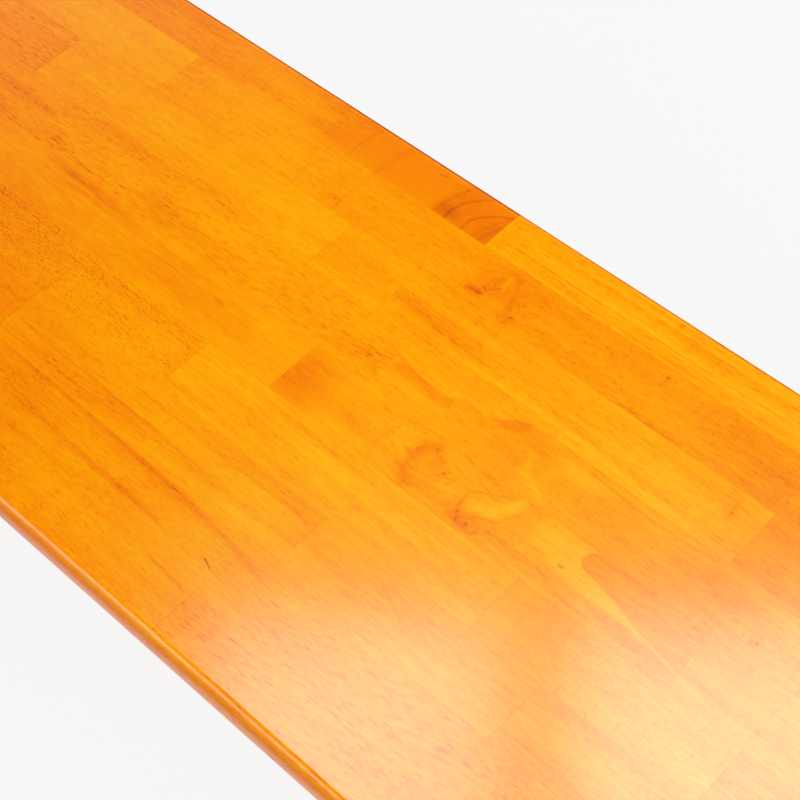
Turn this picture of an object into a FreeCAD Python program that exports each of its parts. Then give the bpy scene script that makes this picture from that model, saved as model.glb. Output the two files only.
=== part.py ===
import FreeCAD, Part
import math
import os
import Sketcher
from FreeCAD import Placement, Rotation, Vector

# Dining bench with an edge-glued block seat on four tapered legs.
# X runs along the bench, Y across it and Z up. The origin is on the floor, under the middle of the seat.

doc = FreeCAD.newDocument("dining_bench")

# Driving dimensions in millimetres
SIZES = [
    ("seat_length", 1168, "seat, end to end"),
    ("seat_height", 457, "floor to the top of the seat"),
    ("seat_thickness", 27, "seat board"),
    ("strip_width", 41.3, "each full strip of the seat"),
    ("edge_strip_width", 35.45, "each of the two outer strips"),
    ("corner_round", 12, "seat corners seen from above"),
    ("top_round", 5, "upper edge of the seat"),
    ("bottom_round", 4, "lower edge of the seat"),
    ("finger_length", 10, "reach of the fingers in an end joint"),
    ("finger_pitch", 4, "one finger to the next"),
    ("shortest_block", 60, "shortest block at a seat end"),
    ("leg_width", 45, "square head of a leg"),
    ("foot_width", 30, "square foot of a leg"),
    ("leg_end_inset", 40, "leg face in from the seat end"),
    ("leg_side_inset", 30, "leg face in from the seat edge"),
    ("taper_drop", 24, "straight part of the leg below the aprons"),
    ("leg_round", 3, "long edges of a leg"),
    ("foot_chamfer", 1.5, "lower edges of a leg"),
    ("apron_height", 64, "all four aprons"),
    ("apron_thickness", 20, "all four aprons"),
    ("apron_setback", 8, "apron face in from the leg face"),
    ("apron_round", 3, "lower edges of an apron"),
    ("brace_width", 60, "cross brace under the seat"),
    ("brace_thickness", 20, "cross brace under the seat"),
    ("brace_offset", 180, "middle of a brace from the middle of the bench"),
    ("block_thickness", 22, "corner block, through its face"),
    ("block_height", 56, "corner block"),
    ("block_leg_gap", 4, "corner block to the inner corner of the leg"),
    ("dowel_diameter", 8, "beech dowel"),
    ("dowel_length", 40, "beech dowel"),
    ("dowel_chamfer", 1, "ends of a dowel"),
    ("dowel_in_leg", 20, "dowel depth in a leg"),
    ("dowel_in_face", 14, "dowel depth in the face of an apron"),
    ("dowel_spacing", 32, "one dowel of a pair to the other"),
    ("dowel_end_gap", 0.5, "glue space at each end of a dowel"),
    ("bolt_diameter", 8, "hanger bolt"),
    ("bolt_in_leg", 35, "hanger bolt depth in a leg"),
    ("bolt_tail", 22, "hanger bolt past the corner block"),
    ("bolt_point", 6, "taper of the wood end"),
    ("washer_diameter", 22, "washer"),
    ("washer_thickness", 1.8, "washer"),
    ("nut_diameter", 15, "hub of the wing nut at its base"),
    ("nut_height", 10, "hub of the wing nut"),
    ("wing_span", 34, "wing nut, tip to tip"),
    ("wing_rise", 18, "wing nut, base to tip"),
    ("wing_thickness", 3, "wing nut"),
    ("screw_diameter", 4, "wood screw"),
    ("screw_point", 7, "taper of a screw's end"),
    ("head_diameter", 8, "screw head"),
    ("head_height", 3, "screw head"),
    ("head_recess", 9.6, "counterbore for a screw head"),
    ("block_screw_grip", 8, "block wood under an apron screw's head"),
    ("block_screw_bite", 16, "apron screw in the apron"),
    ("block_screw_reach", 55, "apron screw from the corner of the aprons"),
    ("block_screw_spacing", 28, "upper apron screw to the lower one"),
    ("seat_screw_grip", 20, "wood under a seat screw's head"),
    ("seat_screw_bite", 15, "seat screw in the seat"),
    ("seat_screw_offset", 14.5, "seat screw from the middle of a corner block, each way"),
    ("glide_diameter", 22, "foot glide"),
    ("glide_height", 5, "foot glide"),
    ("glide_round", 1.5, "lower edge of a glide"),
    ("nail_diameter", 2.5, "glide nail"),
    ("nail_length", 20, "glide nail in the leg"),
    ("nail_head_diameter", 6, "glide nail"),
    ("nail_head_height", 1.2, "glide nail"),
    ("nail_head_cover", 0.8, "nail head above the floor"),
    ("fit_gap", 0.1, "around a fastener that bites or a dowel"),
    ("free_gap", 0.5, "around a fastener that passes through"),
    ("cut_past", 1, "reach of a cut past the face that it leaves by"),
]

# End joints of the seat blocks, row by row from the back edge, as distances from the middle of the bench
END_JOINTS = [
    [-437, -196, 24, 291, 447],
    [-446, -240, -72, 318, 409],
    [-467, -318, -51, 8, 278.6, 428],
    [-470, -276, 43, 352, 471],
    [-455, -298, 0.6, 299.6, 449],
    [-451, -279, -161, -51.4, 199.6, 352, 467],
    [-439, -301, -162.4, 92.1, 251, 419],
    [-418, -166, 106.6, 283, 441],
    [-455, -228, 70.9, 236, 402],
]
FULL_STRIPS = len(END_JOINTS) - 2

# Places worked out from the driving dimensions
PLACES = [
    ("seat_width", f"{FULL_STRIPS} * Sizes.strip_width + 2 * Sizes.edge_strip_width"),
    ("underside", "Sizes.seat_height - Sizes.seat_thickness"),
    ("leg_length", "Sizes.seat_height - Sizes.seat_thickness - Sizes.glide_height"),
    ("leg_x", "Sizes.seat_length / 2 - Sizes.leg_end_inset"),
    ("leg_y", "Places.seat_width / 2 - Sizes.leg_side_inset"),
    ("apron_x", "Places.leg_x - Sizes.apron_setback"),
    ("apron_y", "Places.leg_y - Sizes.apron_setback"),
    ("inner_x", "Places.apron_x - Sizes.apron_thickness"),
    ("inner_y", "Places.apron_y - Sizes.apron_thickness"),
    ("long_apron", "2 * (Places.leg_x - Sizes.leg_width)"),
    ("end_apron", "2 * (Places.leg_y - Sizes.leg_width)"),
    ("apron_middle", "Places.underside - Sizes.apron_height / 2"),
    ("apron_bottom", "Places.underside - Sizes.apron_height"),
    ("block_bottom", "Places.underside - Sizes.block_height"),
    ("brace_bottom", "Places.underside - Sizes.brace_thickness"),
    ("leg_step", "Sizes.leg_width - Sizes.apron_setback - Sizes.apron_thickness"),
    ("block_near", "2 * Places.leg_step + Sizes.block_leg_gap * sqrt(2)"),
    ("block_far", "Places.block_near + Sizes.block_thickness * sqrt(2)"),
    ("block_middle", "(Places.block_near + Places.block_far) / 4"),
    ("bolt_length", "Sizes.bolt_in_leg + Sizes.block_leg_gap + Sizes.block_thickness + Sizes.bolt_tail"),
    ("brace_screw_y", "2 * Sizes.strip_width"),
    ("foot_middle", "Sizes.foot_width / 2"),
]


def fill(sheet, cells, written):
    """One row per value: its name in column A and the aliased cell in column B."""
    for row, cell in enumerate(cells, start=1):
        sheet.set(f"A{row}", cell[0])
        sheet.set(f"B{row}", written(cell[1]))
        sheet.setAlias(f"B{row}", cell[0])
        doc.recompute()


sizes = doc.addObject("Spreadsheet::Sheet", "Sizes")
fill(sizes, SIZES, str)
places = doc.addObject("Spreadsheet::Sheet", "Places")
fill(places, PLACES, lambda formula: "=" + formula)

UP = Vector(0, 0, 1)
DOWN = Vector(0, 0, -1)
INTO_BENCH = Vector(1, 1, 0)


def bind(item, **formulas):
    """Ties properties of an object to the sheets. Two underscores stand for the dot in Placement.Base.x."""
    for name, formula in formulas.items():
        item.setExpression(name.replace("__", "."), formula)


def put(item, x="0", y="0", z="0", toward=UP, turn=0):
    """Places an object whose own Z axis is to point toward a direction, after a turn about that axis."""
    item.Placement = Placement(Vector(0, 0, 0), Rotation(UP, toward) * Rotation(UP, turn))
    bind(item, Placement__Base__x=x, Placement__Base__y=y, Placement__Base__z=z)


def new_body(label):
    body = doc.addObject("PartDesign::Body", label)
    body.Label = label
    return body


def origin_plane(body, role):
    return next(item for item in body.Origin.OriginFeatures if item.Role == role)


def value(formula):
    """The present value of a formula over the sheets, used as a sketch's first guess."""
    return float(doc.Sizes.evalExpression(formula))


def new_sketch(body, role, name, lift="0"):
    sketch = body.newObject("Sketcher::SketchObject", name)
    sketch.AttachmentSupport = (origin_plane(body, role), [""])
    sketch.MapMode = "FlatFace"
    bind(sketch, AttachmentOffset__Base__z=lift)
    return sketch


def hold_point(sketch, line, end, place):
    """Fixes one end of a sketch line at a place given as two formulas, neither of them negative."""
    for kind, axis, formula in (("DistanceX", -2, place[0]), ("DistanceY", -1, place[1])):
        if formula == "0":
            sketch.addConstraint(Sketcher.Constraint("PointOnObject", line, end, axis))
        else:
            added = sketch.addConstraint(Sketcher.Constraint(kind, -1, 1, line, end, value(formula)))
            sketch.setExpression(f"Constraints[{added}]", formula)


def guess(place):
    return Vector(value(place[0]), value(place[1]), 0)


def polygon(body, role, name, corners):
    """A closed outline through corners that are each given as two formulas."""
    sketch = new_sketch(body, role, name)
    guesses = [guess(corner) for corner in corners]
    count = len(corners)
    for line in range(count):
        sketch.addGeometry(Part.LineSegment(guesses[line], guesses[(line + 1) % count]))
    for line in range(count):
        sketch.addConstraint(Sketcher.Constraint("Coincident", line, 2, (line + 1) % count, 1))
    for line, place in enumerate(corners):
        hold_point(sketch, line, 1, place)
    return sketch


def rounded_square(body, name, low, high, lift):
    """A square outline from one pair of coordinates to another, with the rounding of a leg's edges."""
    sketch = new_sketch(body, "XY_Plane", name, lift)
    near = f"{low} + Sizes.leg_round"
    far = f"{high} - Sizes.leg_round"
    sides = [
        ((near, low), (far, low)),
        ((high, near), (high, far)),
        ((far, high), (near, high)),
        ((low, far), (low, near)),
    ]
    middles = [(far, near), (far, far), (near, far), (near, near)]
    for start, end in sides:
        line = sketch.addGeometry(Part.LineSegment(guess(start), guess(end)))
        hold_point(sketch, line, 1, start)
        hold_point(sketch, line, 2, end)
    radius = value("Sizes.leg_round")
    for side, middle in enumerate(middles):
        turn = math.pi / 2 * side
        circle = Part.Circle(guess(middle), UP, radius)
        arc = sketch.addGeometry(Part.ArcOfCircle(circle, turn - math.pi / 2, turn))
        sketch.addConstraint(Sketcher.Constraint("Tangent", side, 2, arc, 1))
        sketch.addConstraint(Sketcher.Constraint("Coincident", arc, 2, (side + 1) % 4, 1))
    return sketch


def pad(body, sketch, length):
    feature = body.newObject("PartDesign::Pad", "pad")
    feature.Profile = sketch
    bind(feature, Length=length)
    doc.recompute()
    return feature


def turned(label, corners):
    """A turned piece: its half outline in radius and height, revolved about the Z axis."""
    body = new_body(label)
    sketch = polygon(body, "XZ_Plane", "half_outline", corners)
    feature = body.newObject("PartDesign::Revolution", "turned")
    feature.Profile = sketch
    feature.ReferenceAxis = (sketch, ["V_Axis"])
    feature.Angle = 360
    doc.recompute()
    return body


def drill(body, name, diameter, depth, at, toward):
    """A round hole from a place, given as three formulas, toward a direction."""
    hole = body.newObject("PartDesign::SubtractiveCylinder", name)
    bind(hole, Radius=f"({diameter}) / 2", Height=depth)
    put(hole, *at, toward=toward)
    return hole


def ease(body, kind, size, wanted):
    """Rounds or bevels the edges of a body's last feature that a test picks out."""
    base = body.Tip
    picked = [f"Edge{index}" for index, edge in enumerate(base.Shape.Edges, start=1) if wanted(edge)]
    feature = body.newObject(f"PartDesign::{kind}", kind.lower())
    feature.Base = (base, picked)
    bind(feature, **{"Radius" if kind == "Fillet" else "Size": size})
    doc.recompute()
    return feature


def steep(edge):
    """True for an edge that runs mostly up and down."""
    run = edge.Vertexes[-1].Point - edge.Vertexes[0].Point
    return abs(run.z) > 0.5 * edge.Length


def along_x(edge):
    run = edge.Vertexes[-1].Point - edge.Vertexes[0].Point
    return abs(run.x) > 0.5 * edge.Length


def level_at(height):
    """A test for edges that lie at one height."""
    return lambda edge: all(abs(vertex.Z - height) < 0.01 for vertex in edge.Vertexes)


def mirrored(source, direction):
    copy = doc.addObject("Part::Mirroring", source.Name + "_mirror")
    copy.Source = source
    copy.Normal = direction
    return copy


def gather(label, pieces):
    group = doc.addObject("Part::Compound", label)
    group.Label = label
    group.Links = pieces
    return group


def in_four_corners(label, pieces):
    """Repeats the pieces of the front left quarter in the other three."""
    quarter = gather(label + "_quarter", pieces)
    front = gather(label + "_front", [quarter, mirrored(quarter, Vector(1, 0, 0))])
    return gather(label, [front, mirrored(front, Vector(0, 1, 0))])


def make_seat_board():
    """The whole seat as one board with its rounded edges and screw holes. Its blocks are cut from it."""
    board = new_body("seat_board")
    outline = new_sketch(board, "XY_Plane", "outline")
    half_length = value("Sizes.seat_length / 2")
    half_width = value("Places.seat_width / 2")
    corners = [Vector(x * half_length, y * half_width, 0) for x, y in ((-1, -1), (1, -1), (1, 1), (-1, 1))]
    for line in range(4):
        outline.addGeometry(Part.LineSegment(corners[line], corners[(line + 1) % 4]))
    for line in range(4):
        outline.addConstraint(Sketcher.Constraint("Coincident", line, 2, (line + 1) % 4, 1))
    for line in (0, 2):
        outline.addConstraint(Sketcher.Constraint("Horizontal", line))
        outline.addConstraint(Sketcher.Constraint("Vertical", line + 1))
    outline.addConstraint(Sketcher.Constraint("Symmetric", 0, 1, 1, 2, -1, 1))
    length = outline.addConstraint(Sketcher.Constraint("DistanceX", 0, 1, 0, 2, 2 * half_length))
    width = outline.addConstraint(Sketcher.Constraint("DistanceY", 1, 1, 1, 2, 2 * half_width))
    outline.setExpression(f"Constraints[{length}]", "Sizes.seat_length")
    outline.setExpression(f"Constraints[{width}]", "Places.seat_width")
    pad(board, outline, "Sizes.seat_thickness")
    ease(board, "Fillet", "Sizes.corner_round", steep)
    ease(board, "Fillet", "Sizes.top_round", level_at(sizes.seat_thickness))
    ease(board, "Fillet", "Sizes.bottom_round", level_at(0))
    over_block = "Places.block_middle + Sizes.seat_screw_offset"
    under_block = "Places.block_middle - Sizes.seat_screw_offset"
    quarter_holes = [
        (f"Places.inner_x - ({over_block})", f"Places.inner_y - ({under_block})"),
        (f"Places.inner_x - ({under_block})", f"Places.inner_y - ({over_block})"),
        ("Sizes.brace_offset", "Places.brace_screw_y"),
    ]
    for side_x in ("", "-"):
        for side_y in ("", "-"):
            for x, y in quarter_holes:
                at = (f"{side_x}({x})", f"{side_y}({y})", "0")
                drill(
                    board,
                    "screw_hole",
                    "Sizes.screw_diameter + 2 * Sizes.fit_gap",
                    "Sizes.seat_screw_bite + Sizes.fit_gap",
                    at,
                    UP,
                )
    put(board, z="Places.underside")
    doc.recompute()
    return board


def finger_joint(x):
    """Points of an end joint from the top of the seat down, straight on top and fingered below."""
    fingers = int(sizes.seat_thickness / sizes.finger_pitch)
    shoulder = (sizes.seat_thickness - fingers * sizes.finger_pitch) / 2
    height = sizes.seat_height
    points = [Vector(x, 0, height)]
    for finger in range(fingers):
        root = height - shoulder - finger * sizes.finger_pitch
        points.append(Vector(x, 0, root))
        points.append(Vector(x + sizes.finger_length, 0, root - sizes.finger_pitch / 2))
    points.append(Vector(x, 0, places.underside + shoulder))
    points.append(Vector(x, 0, places.underside))
    return points


def square_end(x):
    """Points of a straight cut past a seat end, from above the seat to below it."""
    return [Vector(x, 0, sizes.seat_height), Vector(x, 0, places.underside)]


def without_repeats(points):
    """Leaves out a point that lies on the one before it."""
    kept = []
    for point in points:
        if not kept or point.distanceToPoint(kept[-1]) > 0.001:
            kept.append(point)
    return kept


def make_seat_strip(row, board, back_edge, width):
    """One strip of the seat: a row of blocks, finger-jointed end to end."""
    past_end = sizes.seat_length / 2 + sizes.cut_past
    room = sizes.seat_length / 2 - sizes.shortest_block
    joints = [finger_joint(x) for x in END_JOINTS[row] if abs(x) < room]
    cuts = [square_end(-past_end)] + joints + [square_end(past_end)]
    blocks = []
    for left, right in zip(cuts, cuts[1:]):
        outline = without_repeats(left + right[::-1])
        side = Part.Face(Part.makePolygon(outline + outline[:1]))
        side.translate(Vector(0, back_edge - width, 0))
        blocks.append(board.Shape.common(side.extrude(Vector(0, width, 0))))
    strip = doc.addObject("Part::Feature", f"seat_strip_{row + 1}")
    strip.Label = f"seat_strip_{row + 1}"
    strip.Shape = Part.makeCompound([block.Solids[0] for block in blocks])
    strip.Placement = Placement()
    return strip


def make_seat():
    board = make_seat_board()
    strips = []
    back_edge = places.seat_width / 2
    for row in range(len(END_JOINTS)):
        outer = row in (0, len(END_JOINTS) - 1)
        width = sizes.edge_strip_width if outer else sizes.strip_width
        strips.append(make_seat_strip(row, board, back_edge, width))
        back_edge -= width
    return strips


# Each corner: its sides of the bench along X and Y, and how far its pieces turn
CORNERS = {
    "front_left": ("-", "-", 0),
    "front_right": ("", "-", 90),
    "back_right": ("", "", 180),
    "back_left": ("-", "", 270),
}
DOWEL_HOLE = "Sizes.dowel_diameter + 2 * Sizes.fit_gap"
SCREW_HOLE = "Sizes.screw_diameter + 2 * Sizes.fit_gap"
SCREW_PASS = "Sizes.screw_diameter + 2 * Sizes.free_gap"
ALONG_X = Vector(1, 0, 0)
ALONG_Y = Vector(0, 1, 0)
PAIR = ("-", "+")
WING_TURN = 25  # degrees, how far the wing nuts are turned about their bolts


def make_leg(corner):
    """A square leg, tapered on its two inner faces. Its own origin is the outer corner of its foot."""
    side_x, side_y, turn = CORNERS[corner]
    leg = new_body(f"leg_{corner}")
    bevel = "Sizes.foot_chamfer"
    straight = "Places.leg_length - Sizes.apron_height - Sizes.taper_drop"
    sections = [
        rounded_square(leg, "floor", bevel, f"Sizes.foot_width - {bevel}", "0"),
        rounded_square(leg, "foot", "0", "Sizes.foot_width", bevel),
        rounded_square(leg, "taper", "0", "Sizes.leg_width", straight),
        rounded_square(leg, "top", "0", "Sizes.leg_width", "Places.leg_length"),
    ]
    post = leg.newObject("PartDesign::AdditiveLoft", "post")
    post.Profile = sections[0]
    post.Sections = sections[1:]
    post.Ruled = True
    doc.recompute()
    middle = "Places.leg_length - Sizes.apron_height / 2"
    line = "Sizes.apron_setback + Sizes.apron_thickness / 2"
    start = "Sizes.leg_width - Sizes.dowel_in_leg - Sizes.dowel_end_gap"
    depth = "Sizes.dowel_in_leg + Sizes.dowel_end_gap"
    for sign in PAIR:
        level = f"{middle} {sign} Sizes.dowel_spacing / 2"
        drill(leg, "dowel_hole", DOWEL_HOLE, depth, (start, line, level), ALONG_X)
        drill(leg, "dowel_hole", DOWEL_HOLE, depth, (line, start, level), ALONG_Y)
    bolt_start = "Sizes.leg_width - (Sizes.bolt_in_leg + Sizes.fit_gap) / sqrt(2)"
    bolt_hole = "Sizes.bolt_diameter + 2 * Sizes.fit_gap"
    bolt_depth = "Sizes.bolt_in_leg + Sizes.cut_past"
    drill(leg, "bolt_hole", bolt_hole, bolt_depth, (bolt_start, bolt_start, middle), INTO_BENCH)
    nail_hole = "Sizes.nail_diameter + 2 * Sizes.fit_gap"
    foot = ("Places.foot_middle", "Places.foot_middle", "0")
    drill(leg, "nail_hole", nail_hole, "Sizes.nail_length + Sizes.fit_gap", foot, UP)
    put(leg, f"{side_x}Places.leg_x", f"{side_y}Places.leg_y", "Sizes.glide_height", turn=turn)
    return leg


def make_rail(label, length):
    """An apron without its fasteners' holes. Its own origin is the lower left corner of its outer face."""
    rail = new_body(label)
    section = [("0", "0"), (length, "0"), (length, "Sizes.apron_thickness"), ("0", "Sizes.apron_thickness")]
    pad(rail, polygon(rail, "XY_Plane", "plan", section), "Sizes.apron_height")
    full = value(length)
    ease(rail, "Fillet", "Sizes.apron_round", lambda edge: level_at(0)(edge) and edge.Length > 0.9 * full)
    middle = "Sizes.apron_thickness / 2"
    depth = "Sizes.dowel_length - Sizes.dowel_in_leg + Sizes.dowel_end_gap"
    for sign in PAIR:
        level = f"Sizes.apron_height / 2 {sign} Sizes.dowel_spacing / 2"
        for start in ("0", f"{length} - ({depth})"):
            drill(rail, "dowel_hole", DOWEL_HOLE, depth, (start, middle, level), ALONG_X)
        bite = "Sizes.block_screw_bite + Sizes.fit_gap"
        face = f"Sizes.apron_thickness - ({bite})"
        level = f"Sizes.apron_height / 2 {sign} Sizes.block_screw_spacing / 2"
        reach = "Sizes.block_screw_reach - Places.leg_step"
        for x in (reach, f"{length} - ({reach})"):
            drill(rail, "block_screw_hole", SCREW_HOLE, bite, (x, face, level), ALONG_Y)
    return rail


def make_long_apron(label, side, turn):
    """A front or back apron, which also takes the dowels of the cross braces."""
    rail = make_rail(label, "Places.long_apron")
    depth = "Sizes.dowel_in_face + Sizes.dowel_end_gap"
    level = "Sizes.apron_height - Sizes.brace_thickness / 2"
    for end in PAIR:
        for sign in PAIR:
            x = f"Places.long_apron / 2 {end} Sizes.brace_offset {sign} Sizes.dowel_spacing / 2"
            at = (x, f"Sizes.apron_thickness - ({depth})", level)
            drill(rail, "brace_dowel_hole", DOWEL_HOLE, depth, at, ALONG_Y)
    put(rail, f"{side}Places.long_apron / 2", f"{side}Places.apron_y", "Places.apron_bottom", turn=turn)
    return rail


def make_end_apron(label, side_x, side_y, turn):
    rail = make_rail(label, "Places.end_apron")
    put(rail, f"{side_x}Places.apron_x", f"{side_y}Places.end_apron / 2", "Places.apron_bottom", turn=turn)
    return rail


def make_brace(label, side):
    """A flat cross brace between the long aprons. Its own origin is its lower front left corner."""
    brace = new_body(label)
    length = "2 * Places.inner_y"
    width = "Sizes.brace_width"
    plan = [("0", "0"), (width, "0"), (width, length), ("0", length)]
    pad(brace, polygon(brace, "XY_Plane", "plan", plan), "Sizes.brace_thickness")
    ease(brace, "Fillet", "Sizes.apron_round / 2", lambda edge: level_at(0)(edge) and not along_x(edge))
    depth = "Sizes.dowel_length - Sizes.dowel_in_face + Sizes.dowel_end_gap"
    for sign in PAIR:
        x = f"{width} / 2 {sign} Sizes.dowel_spacing / 2"
        for start in ("0", f"{length} - ({depth})"):
            drill(brace, "dowel_hole", DOWEL_HOLE, depth, (x, start, "Sizes.brace_thickness / 2"), ALONG_Y)
        y = f"Places.inner_y {sign} Places.brace_screw_y"
        drill(brace, "seat_screw_hole", SCREW_PASS, "Sizes.brace_thickness", (f"{width} / 2", y, "0"), UP)
    put(brace, f"{side}Sizes.brace_offset - {width} / 2", "-Places.inner_y", "Places.brace_bottom")
    return brace


def make_corner_block(corner):
    """A block across the corner of two aprons. Its own origin is where their inner faces meet."""
    side_x, side_y, turn = CORNERS[corner]
    block = new_body(f"corner_block_{corner}")
    near = "Places.block_near"
    far = "Places.block_far"
    pad(
        block,
        polygon(block, "XY_Plane", "plan", [(near, "0"), (far, "0"), ("0", far), ("0", near)]),
        "Sizes.block_height",
    )
    middle = "Sizes.block_height - Sizes.apron_height / 2"
    outside = "Places.block_near / 2 - Sizes.cut_past"
    through = "Sizes.block_thickness + 3 * Sizes.cut_past"
    bolt_pass = "Sizes.bolt_diameter + 2 * Sizes.free_gap"
    drill(block, "bolt_hole", bolt_pass, through, (outside, outside, middle), INTO_BENCH)
    reach = "Sizes.block_screw_reach"
    grip = "Sizes.block_screw_grip"
    for sign in PAIR:
        level = f"{middle} {sign} Sizes.block_screw_spacing / 2"
        drill(block, "apron_screw_hole", SCREW_PASS, grip, (reach, "0", level), ALONG_Y)
        drill(block, "head_recess", "Sizes.head_recess", far, (reach, grip, level), ALONG_Y)
        drill(block, "apron_screw_hole", SCREW_PASS, grip, ("0", reach, level), ALONG_X)
        drill(block, "head_recess", "Sizes.head_recess", far, (grip, reach, level), ALONG_X)
        other = "+" if sign == "-" else "-"
        x = f"Places.block_middle {sign} Sizes.seat_screw_offset"
        y = f"Places.block_middle {other} Sizes.seat_screw_offset"
        recess = "Sizes.block_height - Sizes.seat_screw_grip"
        drill(block, "seat_screw_hole", SCREW_PASS, "Sizes.block_height", (x, y, "0"), UP)
        drill(block, "head_recess", "Sizes.head_recess", recess, (x, y, "0"), UP)
    put(block, f"{side_x}Places.inner_x", f"{side_y}Places.inner_y", "Places.block_bottom", turn=turn)
    return block


def make_dowel(label, x, y, z, toward):
    """A chamfered dowel that starts at its end in the leg or apron face."""
    radius = "Sizes.dowel_diameter / 2"
    bevel = "Sizes.dowel_chamfer"
    length = "Sizes.dowel_length"
    dowel = turned(label, [
        ("0", "0"),
        (f"{radius} - {bevel}", "0"),
        (radius, bevel),
        (radius, f"{length} - {bevel}"),
        (f"{radius} - {bevel}", length),
        ("0", length),
    ])
    put(dowel, x, y, z, toward=toward)
    return dowel


def make_apron_dowels():
    """Two dowels in each end of each apron."""
    quarter = []
    for sign in PAIR:
        level = f"Places.apron_middle {sign} Sizes.dowel_spacing / 2"
        x = "Sizes.leg_width - Places.leg_x - Sizes.dowel_in_leg"
        y = "Sizes.leg_width - Places.leg_y - Sizes.dowel_in_leg"
        middle_x = "Sizes.apron_thickness / 2 - Places.apron_x"
        middle_y = "Sizes.apron_thickness / 2 - Places.apron_y"
        quarter.append(make_dowel("long_apron_dowel", x, middle_y, level, ALONG_X))
        quarter.append(make_dowel("end_apron_dowel", middle_x, y, level, ALONG_Y))
    return in_four_corners("apron_dowels", quarter)


def make_brace_dowels():
    """Two dowels in each end of each cross brace."""
    quarter = []
    for sign in PAIR:
        x = f"-Sizes.brace_offset {sign} Sizes.dowel_spacing / 2"
        level = "Places.brace_bottom + Sizes.brace_thickness / 2"
        start = "-Places.inner_y - Sizes.dowel_in_face"
        quarter.append(make_dowel("brace_dowel", x, start, level, ALONG_Y))
    return in_four_corners("brace_dowels", quarter)


def make_screw(label, grip, bite, x, y, z, toward):
    """A round-head wood screw that starts at its point, given the wood that it holds and bites."""
    radius = "Sizes.screw_diameter / 2"
    head = "Sizes.head_diameter / 2"
    rise = "Sizes.head_height"
    length = f"{grip} + {bite}"
    screw = turned(label, [
        ("0", "0"),
        (radius, "Sizes.screw_point"),
        (radius, length),
        (head, length),
        (head, f"{length} + 0.35 * {rise}"),
        (f"0.88 * {head}", f"{length} + 0.7 * {rise}"),
        (f"0.6 * {head}", f"{length} + 0.93 * {rise}"),
        (f"0.3 * {head}", f"{length} + {rise}"),
        ("0", f"{length} + {rise}"),
    ])
    put(screw, x, y, z, toward=toward)
    return screw


def make_block_screws():
    """The screws that hold each corner block to its two aprons."""
    grip = "Sizes.block_screw_grip"
    bite = "Sizes.block_screw_bite"
    reach_x = "Sizes.block_screw_reach - Places.inner_x"
    reach_y = "Sizes.block_screw_reach - Places.inner_y"
    quarter = []
    for sign in PAIR:
        level = f"Places.apron_middle {sign} Sizes.block_screw_spacing / 2"
        at_long = (reach_x, f"-Places.inner_y - {bite}", level)
        at_end = (f"-Places.inner_x - {bite}", reach_y, level)
        quarter.append(make_screw("long_apron_screw", grip, bite, *at_long, ALONG_Y))
        quarter.append(make_screw("end_apron_screw", grip, bite, *at_end, ALONG_X))
    return in_four_corners("corner_block_screws", quarter)


def make_seat_screws():
    """The screws that hold the seat, up through the corner blocks and the cross braces."""
    grip = "Sizes.seat_screw_grip"
    bite = "Sizes.seat_screw_bite"
    point = f"Places.underside + {bite}"
    at_brace = ("-Sizes.brace_offset", "-Places.brace_screw_y", point)
    quarter = [make_screw("brace_seat_screw", "Sizes.brace_thickness", bite, *at_brace, DOWN)]
    for sign, other in (("-", "+"), ("+", "-")):
        x = f"Places.block_middle {sign} Sizes.seat_screw_offset - Places.inner_x"
        y = f"Places.block_middle {other} Sizes.seat_screw_offset - Places.inner_y"
        quarter.append(make_screw("block_seat_screw", grip, bite, x, y, point, DOWN))
    return in_four_corners("seat_screws", quarter)


def on_diagonal(from_corner):
    """Formulas for a place on a corner's diagonal, at equal distances from both aprons' inner faces."""
    return (f"{from_corner} - Places.inner_x", f"{from_corner} - Places.inner_y", "Places.apron_middle")


def make_hanger_bolts():
    """Bolts with a wood end in the leg and a machine end through the corner block."""
    radius = "Sizes.bolt_diameter / 2"
    length = "Places.bolt_length"
    bolt = turned("hanger_bolt", [
        ("0", "0"),
        (f"0.35 * {radius}", "0"),
        (radius, "Sizes.bolt_point"),
        (radius, f"{length} - 0.25 * {radius}"),
        (f"0.75 * {radius}", length),
        ("0", length),
    ])
    put(bolt, *on_diagonal("Places.leg_step - Sizes.bolt_in_leg / sqrt(2)"), toward=INTO_BENCH)
    return in_four_corners("hanger_bolts", [bolt])


def make_washers():
    inner = "Sizes.bolt_diameter / 2 + Sizes.free_gap"
    outer = "Sizes.washer_diameter / 2"
    high = "Sizes.washer_thickness"
    washer = turned("bolt_washer", [
        (inner, "0"),
        (outer, "0"),
        (outer, f"0.75 * {high}"),
        (f"{outer} - 0.25 * {high}", high),
        (inner, high),
    ])
    put(washer, *on_diagonal("Places.block_far / 2"), toward=INTO_BENCH)
    return in_four_corners("bolt_washers", [washer])


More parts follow.
